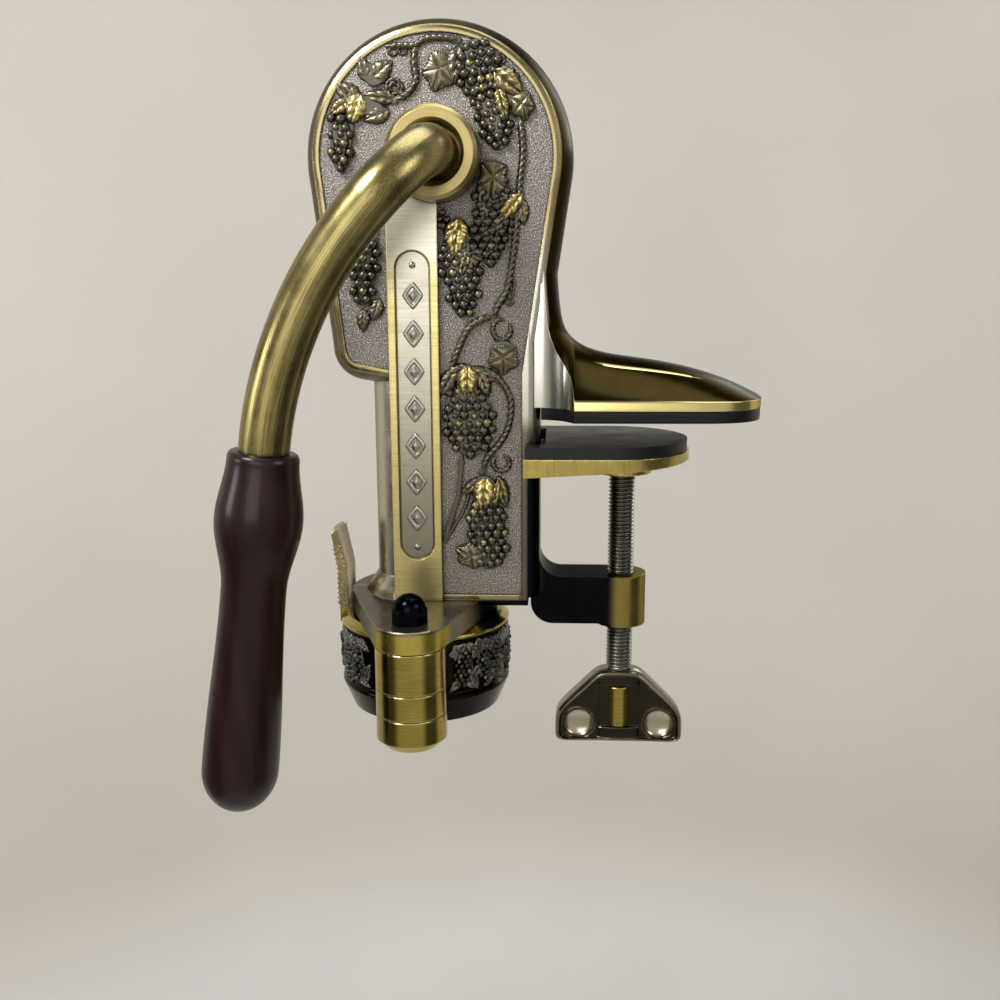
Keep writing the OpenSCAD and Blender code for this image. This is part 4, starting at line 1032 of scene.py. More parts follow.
@dataclass(frozen=True)
class Leaf:
    """A leaf of the relief.

    Attributes:
        at: Place of its middle.
        length: Length from stem to tip.
        width: Greatest width.
        turn: Bearing of its tip in degrees, anticlockwise from along.
        rub_and_highlight: How bright its high parts are rubbed.
        kind: Its outline.
        rise: Height of its back over the ground.
    """

    at: tuple[float, float]
    length: float
    width: float
    turn: float
    rub_and_highlight: float = 0.1
    kind: LeafKind = LeafKind.POINTED
    rise: float = 1.9

    def surface(self) -> Surface:
        """Model the leaf with its own outline and turn it into place."""
        flat = self.pointed() if self.kind is LeafKind.POINTED else self.lobed()
        bearing = math.radians(self.turn)
        cos, sin = math.cos(bearing), math.sin(bearing)

        def place(p: np.ndarray) -> np.ndarray:
            """Turn by the bearing and move to the leaf's place."""
            along = self.at[0] + p[:, 0] * cos - p[:, 1] * sin
            across = self.at[1] + p[:, 0] * sin + p[:, 1] * cos
            return np.stack([along, across, p[:, 2]], axis=1)

        return flat.placed(place)

    def pointed(self) -> Surface:
        """A pointed leaf, as rings carried along its midrib.

        At a share s of its length the half width follows the sine of pi s to the 0.8, with small teeth.
        Across it each half is a pillow, a sine from midrib to edge, over a low arch, with faint slanting
        veins. Its foot is sunk.
        """
        s = np.linspace(0.02, 0.98, 30)[:, None]
        angle = bearings(44)[None]
        t = np.cos(angle)
        teeth, tooth, veins, slant = 5.0, 0.06, 4.0, 1.2
        outline = np.sin(math.pi * s**0.8) ** 0.8
        half = 0.5 * self.width * outline * (1.0 + tooth * np.cos(FULL_TURN * teeth * s))
        over = np.sin(angle) >= 0.0
        arch = np.sqrt(np.clip(1.0 - t**2, 0.0, 1.0))
        pillow = np.sin(math.pi * np.abs(t) ** 0.85) ** 0.8
        vein = 0.3 * np.cos(FULL_TURN * (veins * s - slant * np.abs(t)))
        taper = np.sin(math.pi * s) ** 0.45
        top = self.rise * (taper * (0.66 * arch + 0.3 * pillow * (1.0 + vein)) + 0.4 * (s - 0.5) ** 2 * arch)
        height = np.where(over, top, 0.6 * np.sin(angle))
        along = np.broadcast_to((s - 0.5) * self.length, height.shape)
        rings = np.stack([along, half * t, height], axis=-1)
        shine = np.where(over, self.rub_and_highlight * (0.55 * arch + 0.45 * pillow * (1.0 + 2.0 * vein)), 0.0)
        tips = np.array([[-0.5 * self.length, 0.0, 0.1], [0.5 * self.length, 0.0, 0.1]])
        return Surface.solid(rings, tips, np.clip(shine, 0.0, 1.0))

    def lobed(self) -> Surface:
        """A five-lobed vine leaf, as rings from its middle outward and back under it.

        The edge's reach is a plain share plus a bell curve round each lobe's bearing, with small teeth. The
        back is a low dome with a sharp groove down the middle of each lobe, and its foot is sunk.
        """
        share = np.concatenate([np.linspace(0.06, 0.94, 16), [0.98, 1.0, 1.0]])[:, None]
        bearing = bearings(120)[None]
        lobes = np.radians(np.array([0.0, 64.0, -64.0, 128.0, -128.0]))[:, None, None]
        sizes = np.array([1.0, 0.88, 0.88, 0.66, 0.66])[:, None, None]
        off = np.angle(np.exp(1j * (bearing[None] - lobes)))
        plain, bulge, spread = 0.76, 0.26, 0.36
        teeth, tooth, groove_width = 30.0, 0.03, 0.036
        edge = plain + (bulge * sizes * np.exp(-((off / spread) ** 2))).sum(axis=0)
        edge = np.minimum(edge, 1.0) * (1.0 + tooth * np.cos(teeth * bearing))
        dome = np.sqrt(np.clip(1.0 - share**2, 0.0, 1.0))
        beside = np.abs(share * edge * np.sin(off)) + 0.6 * (np.cos(off) < 0.0)
        groove = np.exp(-((beside.min(axis=0) / groove_width) ** 2))
        swell = ease(beside.min(axis=0), 0.0, 0.22)
        height = self.rise * (0.3 + 0.55 * dome + 0.15 * swell * dome - 0.16 * groove * share)
        height[-1] = -0.5
        rings = np.stack([
            0.5 * self.length * share * edge * np.cos(bearing),
            0.5 * self.width * share * edge * np.sin(bearing),
            height,
        ], axis=-1)
        shine = np.clip(self.rub_and_highlight * (1.0 - groove) * (0.4 + 0.6 * dome), 0.0, 1.0)
        middle = np.array([[0.0, 0.0, 0.75 * self.rise], [0.0, 0.0, -0.5]])
        return Surface.solid(rings, middle, shine)


@dataclass(frozen=True)
class Bunch:
    """A bunch of grapes of the relief.

    Attributes:
        top: Middle of its top row.
        tip: Its lowest grape.
        width: Width of its widest row.
        grape: Radius of a grape.
        rub_and_highlight: How bright one grape in five is rubbed.
        blunt: How slowly it narrows to its tip, 0 for a straight taper.
    """

    top: tuple[float, float]
    tip: tuple[float, float]
    width: float
    grape: float = 2.05
    rub_and_highlight: float = 0.25
    blunt: float = 0.5

    def surface(self, draw: np.random.Generator) -> Surface:
        """Fill the bunch with staggered rows of grapes that stand higher in its middle.

        A row at a share s of the bunch's length is as wide as one less s to the power of one plus its
        bluntness times three, and a grape's height falls with the square of its place across.

        Args:
            draw: Source of the small unevenness.

        Returns:
            The grapes.
        """
        top, tip = np.asarray(self.top), np.asarray(self.tip)
        length = float(np.linalg.norm(tip - top))
        down = (tip - top) / length
        side = np.array([down[1], -down[0]])
        pitch = 1.85 * self.grape
        rows = np.arange(0.0, length + 0.1, 0.86 * pitch)
        columns = np.arange(-8.0, 8.5)
        row, column = np.meshgrid(np.arange(len(rows)), columns, indexing="ij")
        s = rows[row] / length
        x = (column + 0.5 * (row % 2)) * pitch
        half = 0.5 * self.width * np.sqrt(np.clip(1.0 - s ** (1.0 + 3.0 * self.blunt), 0.0, 1.0))
        half *= 0.72 + 0.28 * ease(s, 0.0, 0.25)
        keep = np.abs(x) <= np.maximum(half, 0.3 * pitch)
        s, x, half = s[keep], x[keep], half[keep]
        shake = draw.uniform(-0.22, 0.22, (len(s), 3)) * self.grape
        place = top + (s * length)[:, None] * down + x[:, None] * side + shake[:, :2]
        crown = 1.0 - (x / np.maximum(half, pitch)) ** 2
        height = self.grape * (0.2 + 0.62 * np.clip(crown, 0.0, 1.0)) + shake[:, 2]
        radii = self.grape * draw.uniform(0.86, 1.1, len(s))
        bright = self.rub_and_highlight * (draw.uniform(0.0, 1.0, len(s)) > 0.85)
        return balls(np.column_stack([place, height]), radii, np.clip(bright, 0.0, 1.0))


@dataclass(frozen=True)
class Vine:
    """A twisted vine of the relief.

    Attributes:
        knots: Places that it goes through.
        radius: Radius over its strands.
        strands: Number of strands, two or more.
        rub_and_highlight: How bright its top is rubbed.
    """

    knots: tuple[tuple[float, float], ...]
    radius: float = 1.6
    strands: int = 3
    rub_and_highlight: float = 0.06

    def surface(self) -> Surface:
        """Carry the strands along a smooth path through the knots."""
        rough = np.linalg.norm(np.diff(np.asarray(self.knots), axis=0), axis=1).sum()
        path = smooth_path(self.knots, max(12, int(rough / (0.35 * self.radius))))
        return rope(path, self.radius, 5.2 * self.radius, self.strands, self.rub_and_highlight)


def curl(at: tuple[float, float], reach: float, start: float, turns: float, radius: float) -> Vine:
    """A tendril that winds in: its reach falls evenly as it goes round.

    Args:
        at: Middle of the curl.
        reach: Reach of its outer end.
        start: Bearing of its outer end in degrees.
        turns: Turns to its inner end, negative for clockwise.
        radius: Radius of the tendril.

    Returns:
        The tendril.
    """
    share = np.linspace(0.0, 1.0, 12)
    bearing = math.radians(start) + FULL_TURN * turns * share
    out = reach * (1.0 - 0.7 * share)
    knots = np.stack([at[0] + out * np.cos(bearing), at[1] + out * np.sin(bearing)], axis=1)
    return Vine(tuple(map(tuple, knots)), radius, 2, 0.0)


class Assembly:
    """A sub-assembly of the corkscrew."""

    def dress(self) -> None:
        """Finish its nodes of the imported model, where it has any."""

    def put(self) -> None:
        """Add its own pieces, where it has any."""


@dataclass(frozen=True)
class SideRelief(Assembly):
    """The grapevine on one side of the body.

    Attributes:
        field: Distance of the pebbled field from the middle plane.
        seed: Start of the small unevenness.
    """

    field: float = 22.0
    seed: int = 7

    def bunches(self) -> list[Bunch]:
        """List the bunches, from the head down."""
        return [
            Bunch((-118.5, 124.0), (-119.5, 104.0), 12.0, 2.0),
            Bunch((-63.0, 151.5), (-60.5, 133.0), 20.0, 2.05, 0.4, 0.9),
            Bunch((-60.0, 135.0), (-52.5, 112.0), 14.0, 2.0, 0.22),
            Bunch((-56.0, 99.0), (-57.5, 65.5), 18.0, 2.05, 0.25, 0.6),
            Bunch((-77.2, 87.0), (-77.4, 81.5), 6.0, 1.7),
            Bunch((-71.0, 76.0), (-68.5, 45.5), 18.5, 2.1, 0.3, 0.6),
            Bunch((-110.5, 81.0), (-112.0, 49.0), 13.5, 2.05, 0.25, 0.6),
            Bunch((-67.8, 12.5), (-66.5, -15.0), 22.5, 2.15, 0.3, 1.1),
            Bunch((-60.5, -36.5), (-58.5, -66.5), 18.5, 2.1, 0.42, 1.0),
        ]

    def leaves(self) -> list[Leaf]:
        """List the leaves, from the head down, with the brass ones brightly rubbed."""
        lobed = LeafKind.LOBED
        return [
            Leaf((-108.5, 143.5), 11.0, 6.5, 108.0),
            Leaf((-102.0, 142.5), 13.0, 9.0, 38.0),
            Leaf((-103.0, 132.5), 15.0, 6.5, 175.0),
            Leaf((-104.0, 125.5), 12.0, 7.5, 200.0),
            Leaf((-115.5, 134.0), 13.0, 9.0, 140.0),
            Leaf((-112.5, 128.0), 13.0, 10.0, 250.0, 0.7, rise=3.6),
            Leaf((-119.5, 128.5), 9.0, 7.0, 215.0, 0.3, rise=2.4),
            Leaf((-77.5, 143.0), 18.0, 15.0, 250.0, 0.1, lobed, 2.6),
            Leaf((-71.0, 144.5), 15.0, 9.5, 262.0, 0.05, rise=2.6),
            Leaf((-50.0, 137.5), 16.0, 11.0, 320.0, 0.3, rise=4.4),
            Leaf((-52.5, 129.0), 14.0, 7.0, 285.0, 0.4, rise=4.2),
            Leaf((-44.5, 129.0), 13.0, 11.0, 285.0, 0.15, lobed, 3.4),
            Leaf((-56.5, 100.5), 18.0, 14.0, 262.0, 0.15, lobed, 4.4),
            Leaf((-49.5, 88.5), 16.0, 8.0, 228.0, 0.7, rise=4.4),
            Leaf((-44.5, 87.0), 12.0, 6.5, 280.0, 0.15),
            Leaf((-71.8, 76.5), 17.0, 11.5, 262.0, 0.8, rise=4.9),
            Leaf((-68.5, 66.0), 13.0, 6.0, 250.0, 0.3, rise=3.6),
            Leaf((-63.5, 69.5), 9.0, 6.0, 330.0, 0.1, rise=2.6),
            Leaf((-106.5, 47.0), 10.0, 6.5, 250.0, 0.1),
            Leaf((-112.0, 42.5), 10.0, 6.0, 265.0, 0.1),
            Leaf((-52.3, 27.0), 15.0, 14.5, 268.0, 0.1, lobed, 2.8),
            Leaf((-76.5, 16.0), 14.0, 8.0, 238.0, 0.05, rise=2.8),
            Leaf((-72.5, 20.5), 14.0, 7.0, 200.0, 0.05, rise=2.4),
            Leaf((-61.0, 19.5), 16.0, 7.0, 345.0, 0.1, rise=2.6),
            Leaf((-60.8, 15.5), 12.0, 6.5, 292.0, 0.2, rise=3.2),
            Leaf((-67.8, 16.5), 15.0, 10.0, 268.0, 0.8, rise=5.0),
            Leaf((-66.5, -29.0), 12.0, 6.0, 215.0, 0.1, rise=2.6),
            Leaf((-53.0, -31.5), 15.0, 6.5, 285.0, 0.2, rise=2.8),
            Leaf((-56.0, -32.0), 11.0, 5.0, 262.0, 0.6, rise=3.2),
            Leaf((-61.0, -32.0), 16.0, 11.5, 264.0, 0.9, rise=5.0),
            Leaf((-67.0, -60.0), 15.0, 12.5, 150.0, 0.1, lobed, 3.6),
        ]

    def vines(self) -> list[Vine]:
        """List the vines and tendrils, from the head down."""
        ring = tuple((-53.1 + 3.9 * math.cos(a), 38.6 + 4.3 * math.sin(a)) for a in np.linspace(1.2, 7.0, 9))
        knot = tuple((-53.6 + 3.6 * math.cos(a), -18.6 + 3.4 * math.sin(a)) for a in np.linspace(2.0, 7.6, 9))
        return [
            Vine(((-99.5, 152.0), (-93.5, 152.2), (-88.0, 152.2), (-83.4, 154.6), (-77.0, 155.0),
                  (-69.0, 153.8)), 1.4),
            Vine(((-87.6, 152.6), (-88.3, 145.0), (-87.6, 139.0), (-91.0, 134.0), (-96.5, 131.0))),
            curl((-97.0, 150.3), 2.4, 80.0, -1.1, 0.7),
            curl((-92.4, 150.3), 2.2, 80.0, 1.1, 0.7),
            curl((-96.8, 136.0), 3.9, 300.0, 1.9, 1.0),
            curl((-53.5, 146.0), 2.4, 100.0, -1.0, 0.7),
            Vine(((-45.2, 124.0), (-44.2, 110.3), (-45.4, 99.2), (-46.7, 82.4), (-48.6, 66.9), (-50.9, 54.9),
                  (-55.0, 48.0), (-56.6, 42.5))),
            Vine(((-47.4, 60.0), (-48.2, 54.5), (-48.6, 51.0)), 0.7, 2, 0.15),
            curl((-50.0, 50.6), 2.0, 20.0, -1.1, 0.7),
            Vine(ring, 1.2),
            Vine(((-55.5, 44.0), (-60.8, 43.2), (-67.2, 39.1), (-71.6, 30.6), (-74.9, 22.0))),
            Vine(((-53.0, 34.5), (-52.6, 31.0)), 0.9, 2),
            Vine(((-63.0, 22.2), (-56.5, 20.0), (-50.8, 12.4), (-49.2, 5.5), (-50.8, -3.8), (-55.1, -11.0),
                  (-59.6, -16.0), (-62.0, -22.5)), 1.5),
            Vine(knot, 1.2),
            Vine(((-70.6, -14.0), (-70.8, -22.0), (-72.6, -34.4), (-76.5, -46.0), (-79.0, -54.2)), 0.9),
            Vine(((-66.5, -26.5), (-69.5, -38.0), (-74.5, -47.0), (-78.6, -54.0)), 0.9),
        ]

    def surface(self) -> Surface:
        """Join the bunches, leaves and vines on a flat ground."""
        draw = np.random.default_rng(self.seed)
        parts = [bunch.surface(draw) for bunch in self.bunches()]
        parts += [leaf.surface() for leaf in self.leaves()]
        parts += [vine.surface() for vine in self.vines()]
        return Surface.join(parts)

    def put(self) -> None:
        """Set the relief on the near side and its mirror image on the far side."""
        put_on_both_sides(self.surface(), "relief", self.field, Slot.PEWTER_FIELD, VINE_METAL)


@dataclass(frozen=True)
class Body(Assembly):
    """The cast body with its fields, strips and hub.

    Attributes:
        strip_floor: Distance of the recess's floor from the middle plane.
        lozenge: Half width and half height of a lozenge.
        lozenge_power: How far a lozenge's sides bulge, 1 for straight ones.
        lozenge_top: Height of the top lozenge's middle.
        lozenge_pitch: Distance between lozenges.
        lozenges: Number of lozenges.
        stud_places: Heights of the small studs at the recess's ends.
        stud: Radius of a stud, and how far its middle is sunk.
    """

    strip_floor: float = 23.6
    lozenge: tuple[float, float] = (4.4, 5.9)
    lozenge_power: float = 1.15
    lozenge_top: float = 53.0
    lozenge_pitch: float = 16.0
    lozenges: int = 7
    stud_places: tuple[float, float] = (65.5, -56.0)
    stud: tuple[float, float] = (1.75, 0.9)

    def dress(self) -> None:
        """Finish the body's own nodes."""
        CAST_BRASS.dress("housing_right", "housing_left")
        FIELD_PEWTER.dress("panel_right", "panel_left")
        STRIP_SILVER.dress("strip_right", "strip_left")
        HUB_BRASS.dress("hub_ring", "hub_cap")
        BEARING_BRASS.dress("lever_bush", "guide_bush", "rack_guide")
        DARK_STEEL.dress("housing_screws", "guide_pins")
        BRIGHT_STEEL.dress("idler_shaft")

    def ornament(self) -> Surface:
        """Model one strip's lozenges and studs on a flat ground.

        A lozenge's reach at a bearing is the sum of the cosine and sine of the bearing over its half sizes,
        each to a power a little over one, all to one over minus that power. Its height over the share of the
        reach has a raised border, a sunk channel and a low middle.
        """
        share = np.array([0.12, 0.3, 0.44, 0.5, 0.58, 0.64, 0.7, 0.88, 0.93, 1.0, 1.0])
        height = np.array([0.8, 0.66, 0.44, 0.28, 0.28, 0.5, 0.78, 0.8, 0.72, 0.3, -0.2])
        bearing = bearings(64)
        cos, sin = np.cos(bearing), np.sin(bearing)
        a, b = self.lozenge
        power = self.lozenge_power
        reach = ((np.abs(cos) / a) ** power + (np.abs(sin) / b) ** power) ** (-1.0 / power)
        flat = share[:, None] * reach
        one = np.stack([flat * cos, flat * sin, np.broadcast_to(height[:, None], flat.shape)], axis=-1)
        middles = np.zeros((self.lozenges, 3))
        middles[:, 0] = WORM_X
        middles[:, 1] = self.lozenge_top - self.lozenge_pitch * np.arange(self.lozenges)
        rings = middles[:, None, None] + one[None]
        up, down = np.array([0.0, 0.0, height[0] + 0.05]), np.array([0.0, 0.0, height[-1]])
        shine = np.broadcast_to(np.clip(height, 0.0, 1.0)[None, :, None], rings.shape[:3])
        set_of = Surface.solids(rings, middles + up, middles + down, shine)
        radius, sunk = self.stud
        studs = np.array([[WORM_X, z, -sunk] for z in self.stud_places])
        ones = np.ones(len(studs))
        return Surface.join([set_of, balls(studs, radius * ones, 0.8 * ones, 7, 24)])

    def put(self) -> None:
        """Set the ornament into both strips' recesses."""
        flat = self.ornament()
        put_on_both_sides(flat, "lozenges", self.strip_floor, Slot.BRUSHED_STRIP, LOZENGE_SILVER, 30.0)


@dataclass(frozen=True)
class Lever(Assembly):
    """The lever rod with its turned grip.

    Attributes:
        top: Middle of the grip's top end.
        lean: Angle of the grip's axis from upright, in degrees.
        length: Length of the grip.
        profile: Distance down the grip and radius there, at the turner's marks.
        end: Length of the round end.
    """

    top: tuple[float, float, float] = (-142.96, -75.8, -5.6)
    lean: float = 7.0
    length: float = 150.8
    profile: tuple[tuple[float, float], ...] = (
        (0.0, 12.9), (0.8, 13.6), (2.0, 14.0), (27.0, 17.28), (55.0, 12.9), (133.0, 15.6),
    )
    end: float = 17.8

    def dress(self) -> None:
        """Finish the rod."""
        LEVER_BRASS.dress("lever_arm")

    def grip(self) -> Surface:
        """Turn the grip about its axis.

        Between two marks the radius eases by half of one less the cosine of pi u, and the round end is a
        quarter of an ellipse. The profile is carried round the leaning axis.
        """
        marks = np.asarray(self.profile)
        s = np.concatenate([np.linspace(0.0, 4.0, 8), np.linspace(4.0, marks[-1, 0], 84)[1:]])
        i = np.clip(np.searchsorted(marks[:, 0], s, side="right") - 1, 0, len(marks) - 2)
        u = (s - marks[i, 0]) / (marks[i + 1, 0] - marks[i, 0])
        r = marks[i, 1] + (marks[i + 1, 1] - marks[i, 1]) * 0.5 * (1.0 - np.cos(math.pi * u))
        quarter = np.linspace(0.0, 0.5 * math.pi, 20)[1:-1]
        s = np.concatenate([s, marks[-1, 0] + self.end * np.sin(quarter)])
        r = np.concatenate([r, marks[-1, 1] * np.cos(quarter)])
        lean = math.radians(self.lean)
        axis = np.array([-math.sin(lean), 0.0, -math.cos(lean)])
        side = np.array([math.cos(lean), 0.0, -math.sin(lean)])
        front = np.array([0.0, 1.0, 0.0])
        b = bearings(72)
        round_it = np.cos(b)[:, None] * side + np.sin(b)[:, None] * front
        top = np.asarray(self.top)
        rings = top + s[:, None, None] * axis + r[:, None, None] * round_it
        tips = np.stack([top, top + self.length * axis])
        return Surface.solid(rings, tips)

    def put(self) -> None:
        """Set the turned grip on the lever."""
        self.grip().put("turned_grip", "lever", Slot.DARK_WOOD, MAHOGANY, ("grip",))


@dataclass(frozen=True)
class Foot(Assembly):
    """The sculpted foot over the counter.

    Attributes:
        root: X of the spine's back face.
        length: Length of the foot.
        half_width: Half its width along the parallel sides.
        flare: Radius of the hollow flare out of the spine.
        flare_out: How far the flare's centre stands out.
        flare_in: How far the flare's centre lies before the spine's back face.
        flare_power: How closely the outline keeps to the flare and the parallel sides.
        flare_length: Length over which the edge falls.
        dense_to: How far back the rings lie close together.
        corner: Reach forward round the spine's corner.
        corner_drop: How far below the root's top that part starts, to stay under the rim.
        corner_fall: How fast it falls from there.
        root_top: Height of the root inside the head's wall.
        wall_swell: How far the head's wall swells at the seam, and the radius of its swell.
        wall_back: How far behind the spine's back face the wall's rim ends.
        climb_length: Length over which the back climbs to the wall.
        nose: Length over which the tip rounds in plan.
        blunt: Length cut off the tip.
        under: Height of its underside.
        lip: Height of the lip's top.
        ridge: Height of the ridge behind the sweep.
        sweep_up: Rise of the sweep up the spine.
        sweep_length: Length over which the sweep falls.
        edge_up: Rise of the flare's upper edge from the lip to the spine.
        line_from: Where the two channels with their painted highlight lines start and end, from the spine.
        line_place: Place of a line across, as a share of the half width.
        line_size: Reach and depth of a line.
        line_fade: Length over which a line fades at its ends.
        pad_inset: How far the pad lies inside the foot's edge.
        pad_step: Size of the pad's rounded lower edge.
    """

    root: float = -36.98
    length: float = 95.98
    half_width: float = 34.5
    flare: float = 16.5
    flare_out: float = 4.0
    flare_in: float = 2.0
    flare_power: float = 24.0
    flare_length: float = 14.0
    dense_to: float = 18.0
    corner: float = 5.0
    corner_drop: float = 8.0
    corner_fall: float = 7.2
    root_top: float = 64.0
    wall_swell: tuple[float, float] = (6.1, 46.3)
    wall_back: float = 1.15
    climb_length: float = 1.1
    nose: float = 34.0
    blunt: float = 0.4
    under: float = 5.4
    lip: float = 9.1
    ridge: float = 26.5
    sweep_up: float = 37.9
    sweep_length: float = 8.7
    edge_up: float = 36.3
    line_from: tuple[float, float] = (22.0, 70.0)
    line_place: float = 0.5
    line_size: tuple[float, float] = (0.55, 0.55)
    line_fade: float = 8.0
    pad_inset: float = 1.0
    pad_step: float = 0.8

    def half(self, d: np.ndarray) -> np.ndarray:
        """Half the width of the foot: a hollow flare, parallel sides and a tip that rounds by a cubic curve.

        Args:
            d: Distance behind the spine's back face.

        Returns:
            The half width at each distance.
        """
        beyond, power = d + self.flare_in, self.flare_power
        flare = np.sqrt(np.clip(self.flare**2 - beyond**2, 0.0, None))
        wide = 2.0 * self.half_width
        hollow = np.where(beyond < self.flare, self.half_width + self.flare_out - flare, wide)
        hollow = (hollow**-power + self.half_width**-power) ** (-1.0 / power)
        past = np.clip((d - self.length + self.nose) / self.nose, 0.0, 1.0)
        return hollow * np.clip(1.0 - past**3, 0.0, 1.0) ** (1.0 / 3.0)

    def stations(self, start: float) -> np.ndarray:
        """Space the rings behind the spine, close together at the flare and the tip.

        Args:
            start: Distance of the first ring.

        Returns:
            The distances, one row each.
        """
        tip = self.length - 0.5 * self.nose
        nose = tip + (self.length - self.blunt - tip) * np.sin(np.linspace(0.0, 0.5 * math.pi, 48))
        flare = np.linspace(start, self.dense_to, 150)[:-1]
        return np.concatenate([flare, np.linspace(self.dense_to, tip, 70)[:-1], nose])[:, None]

    def surface(self) -> Surface:
        """Model the foot as rings across it, carried back from the spine.

        At a distance d the ridge falls with the cube of d and rises by the sweep's exponential, and the
        flare's upper edge falls from the spine to the lip. Across, the back rises from edge to ridge with one
        less t squared to the 0.9, and two fine channels run along it. Close to the head's swelling wall the
        back climbs by another exponential until it is inside the wall.
        """
        d = self.stations(-self.corner)
        half = self.half(d)
        behind = np.clip(d, 0.0, None)
        crest = self.ridge - (self.ridge - self.lip - 0.1) * (behind / self.length) ** 3
        crest = crest + self.sweep_up * np.exp(-behind / self.sweep_length)
        u = np.clip(d / (self.flare_length + 0.4), 0.0, 1.0)
        edge = self.lip + self.edge_up * (0.64 * (1.0 - u) ** 1.8 + 0.36 * (1.0 - u**8) ** 0.6)
        t = -np.cos(np.linspace(0.0, math.pi, 121))[None]
        top = edge + (crest - edge) * np.clip(1.0 - t**2, 0.0, 1.0) ** 0.9
        swell, radius = self.wall_swell
        out = np.sqrt(np.clip(radius**2 - (t * half) ** 2, 0.0, None)) - (radius - swell)
        clear = np.clip(d - self.wall_back - np.clip(out, 0.0, None), 0.0, None)
        climb = np.exp(-clear / self.climb_length)
        top = np.minimum(top + (self.root_top - top) * climb, self.root_top)
        under_rim = self.root_top - self.corner_drop + self.corner_fall * d
        top = np.where(d < 0.0, np.minimum(top, under_rim), top)
        start, stop = self.line_from
        along = ease(d, start, start + self.line_fade) * (1.0 - ease(d, stop - self.line_fade, stop))
        reach, depth = self.line_size
        channel = along * np.exp(-(((np.abs(t) - self.line_place) * half / reach) ** 2))
        top = top - depth * channel
        wide = t * half
        back = -t[:, 3:-3:6]
        under = np.full((len(d), back.shape[1]), self.under)
        walls = np.full((len(d), 1), self.under)
        y = np.concatenate([wide, wide[:, -1:], back * half, wide[:, :1]], axis=1)
        z = np.concatenate([top, walls, under, walls], axis=1)
        x = np.broadcast_to(self.root + d, y.shape)
        # Painted highlight on the lip's edge and wall and along the two channels
        lip_edge = np.clip((np.abs(t) - 0.985) / 0.015, 0.0, 1.0) * np.ones_like(d)
        lip_wall = 0.85 * ease(d, self.flare_length, self.flare_length + 0.6)
        bright = np.clip(0.95 * channel + lip_edge * lip_wall, 0.0, 1.0)
        shine = np.concatenate([bright, lip_wall, np.zeros(under.shape), lip_wall], axis=1)
        rings = np.stack([x, y, z], axis=-1)
        ends = np.array([
            [self.root - self.corner, 0.0, 0.5 * (self.under + self.ridge)],
            [self.root + self.length - self.blunt, 0.0, 0.5 * (self.under + self.lip)],
        ])
        return Surface.solid(rings, ends, shine)

    def pad(self) -> Surface:
        """Model the pad as a low slab under the foot, its outline drawn in and its lower edge rounded."""
        d = self.stations(0.6)
        half = np.clip(self.half(d) - self.pad_inset, 0.4, None)
        t = np.linspace(-1.0, 1.0, 21)[None]
        step, gap = self.pad_step, 0.02
        high, low = self.under - gap, gap
        rows = [
            (t * half, high), (half, low + step), (half - 0.3 * step, low + 0.3 * step),
            (-t * (half - step), low), (-half + 0.3 * step, low + 0.3 * step), (-half, low + step),
        ]
        y = np.concatenate([across for across, _ in rows], axis=1)
        z = np.concatenate([np.full(across.shape, height) for across, height in rows], axis=1)
        x = np.broadcast_to(self.root + np.minimum(d, self.length - self.pad_inset - self.blunt), y.shape)
        rings = np.stack([x, y, z], axis=-1)
        return Surface.solid(rings, rings[[0, -1]].mean(axis=1))

    def put(self) -> None:
        """Set the foot on the spine and the pad under it."""
        self.surface().put("sculpted_foot", "frame", Slot.ANTIQUE_BRASS, FOOT_BRASS, ("foot",), 35.0)
        self.pad().put("moulded_pad", "frame", Slot.BLACK_RUBBER, BLACK_RUBBER, ("foot_pad",), 35.0)


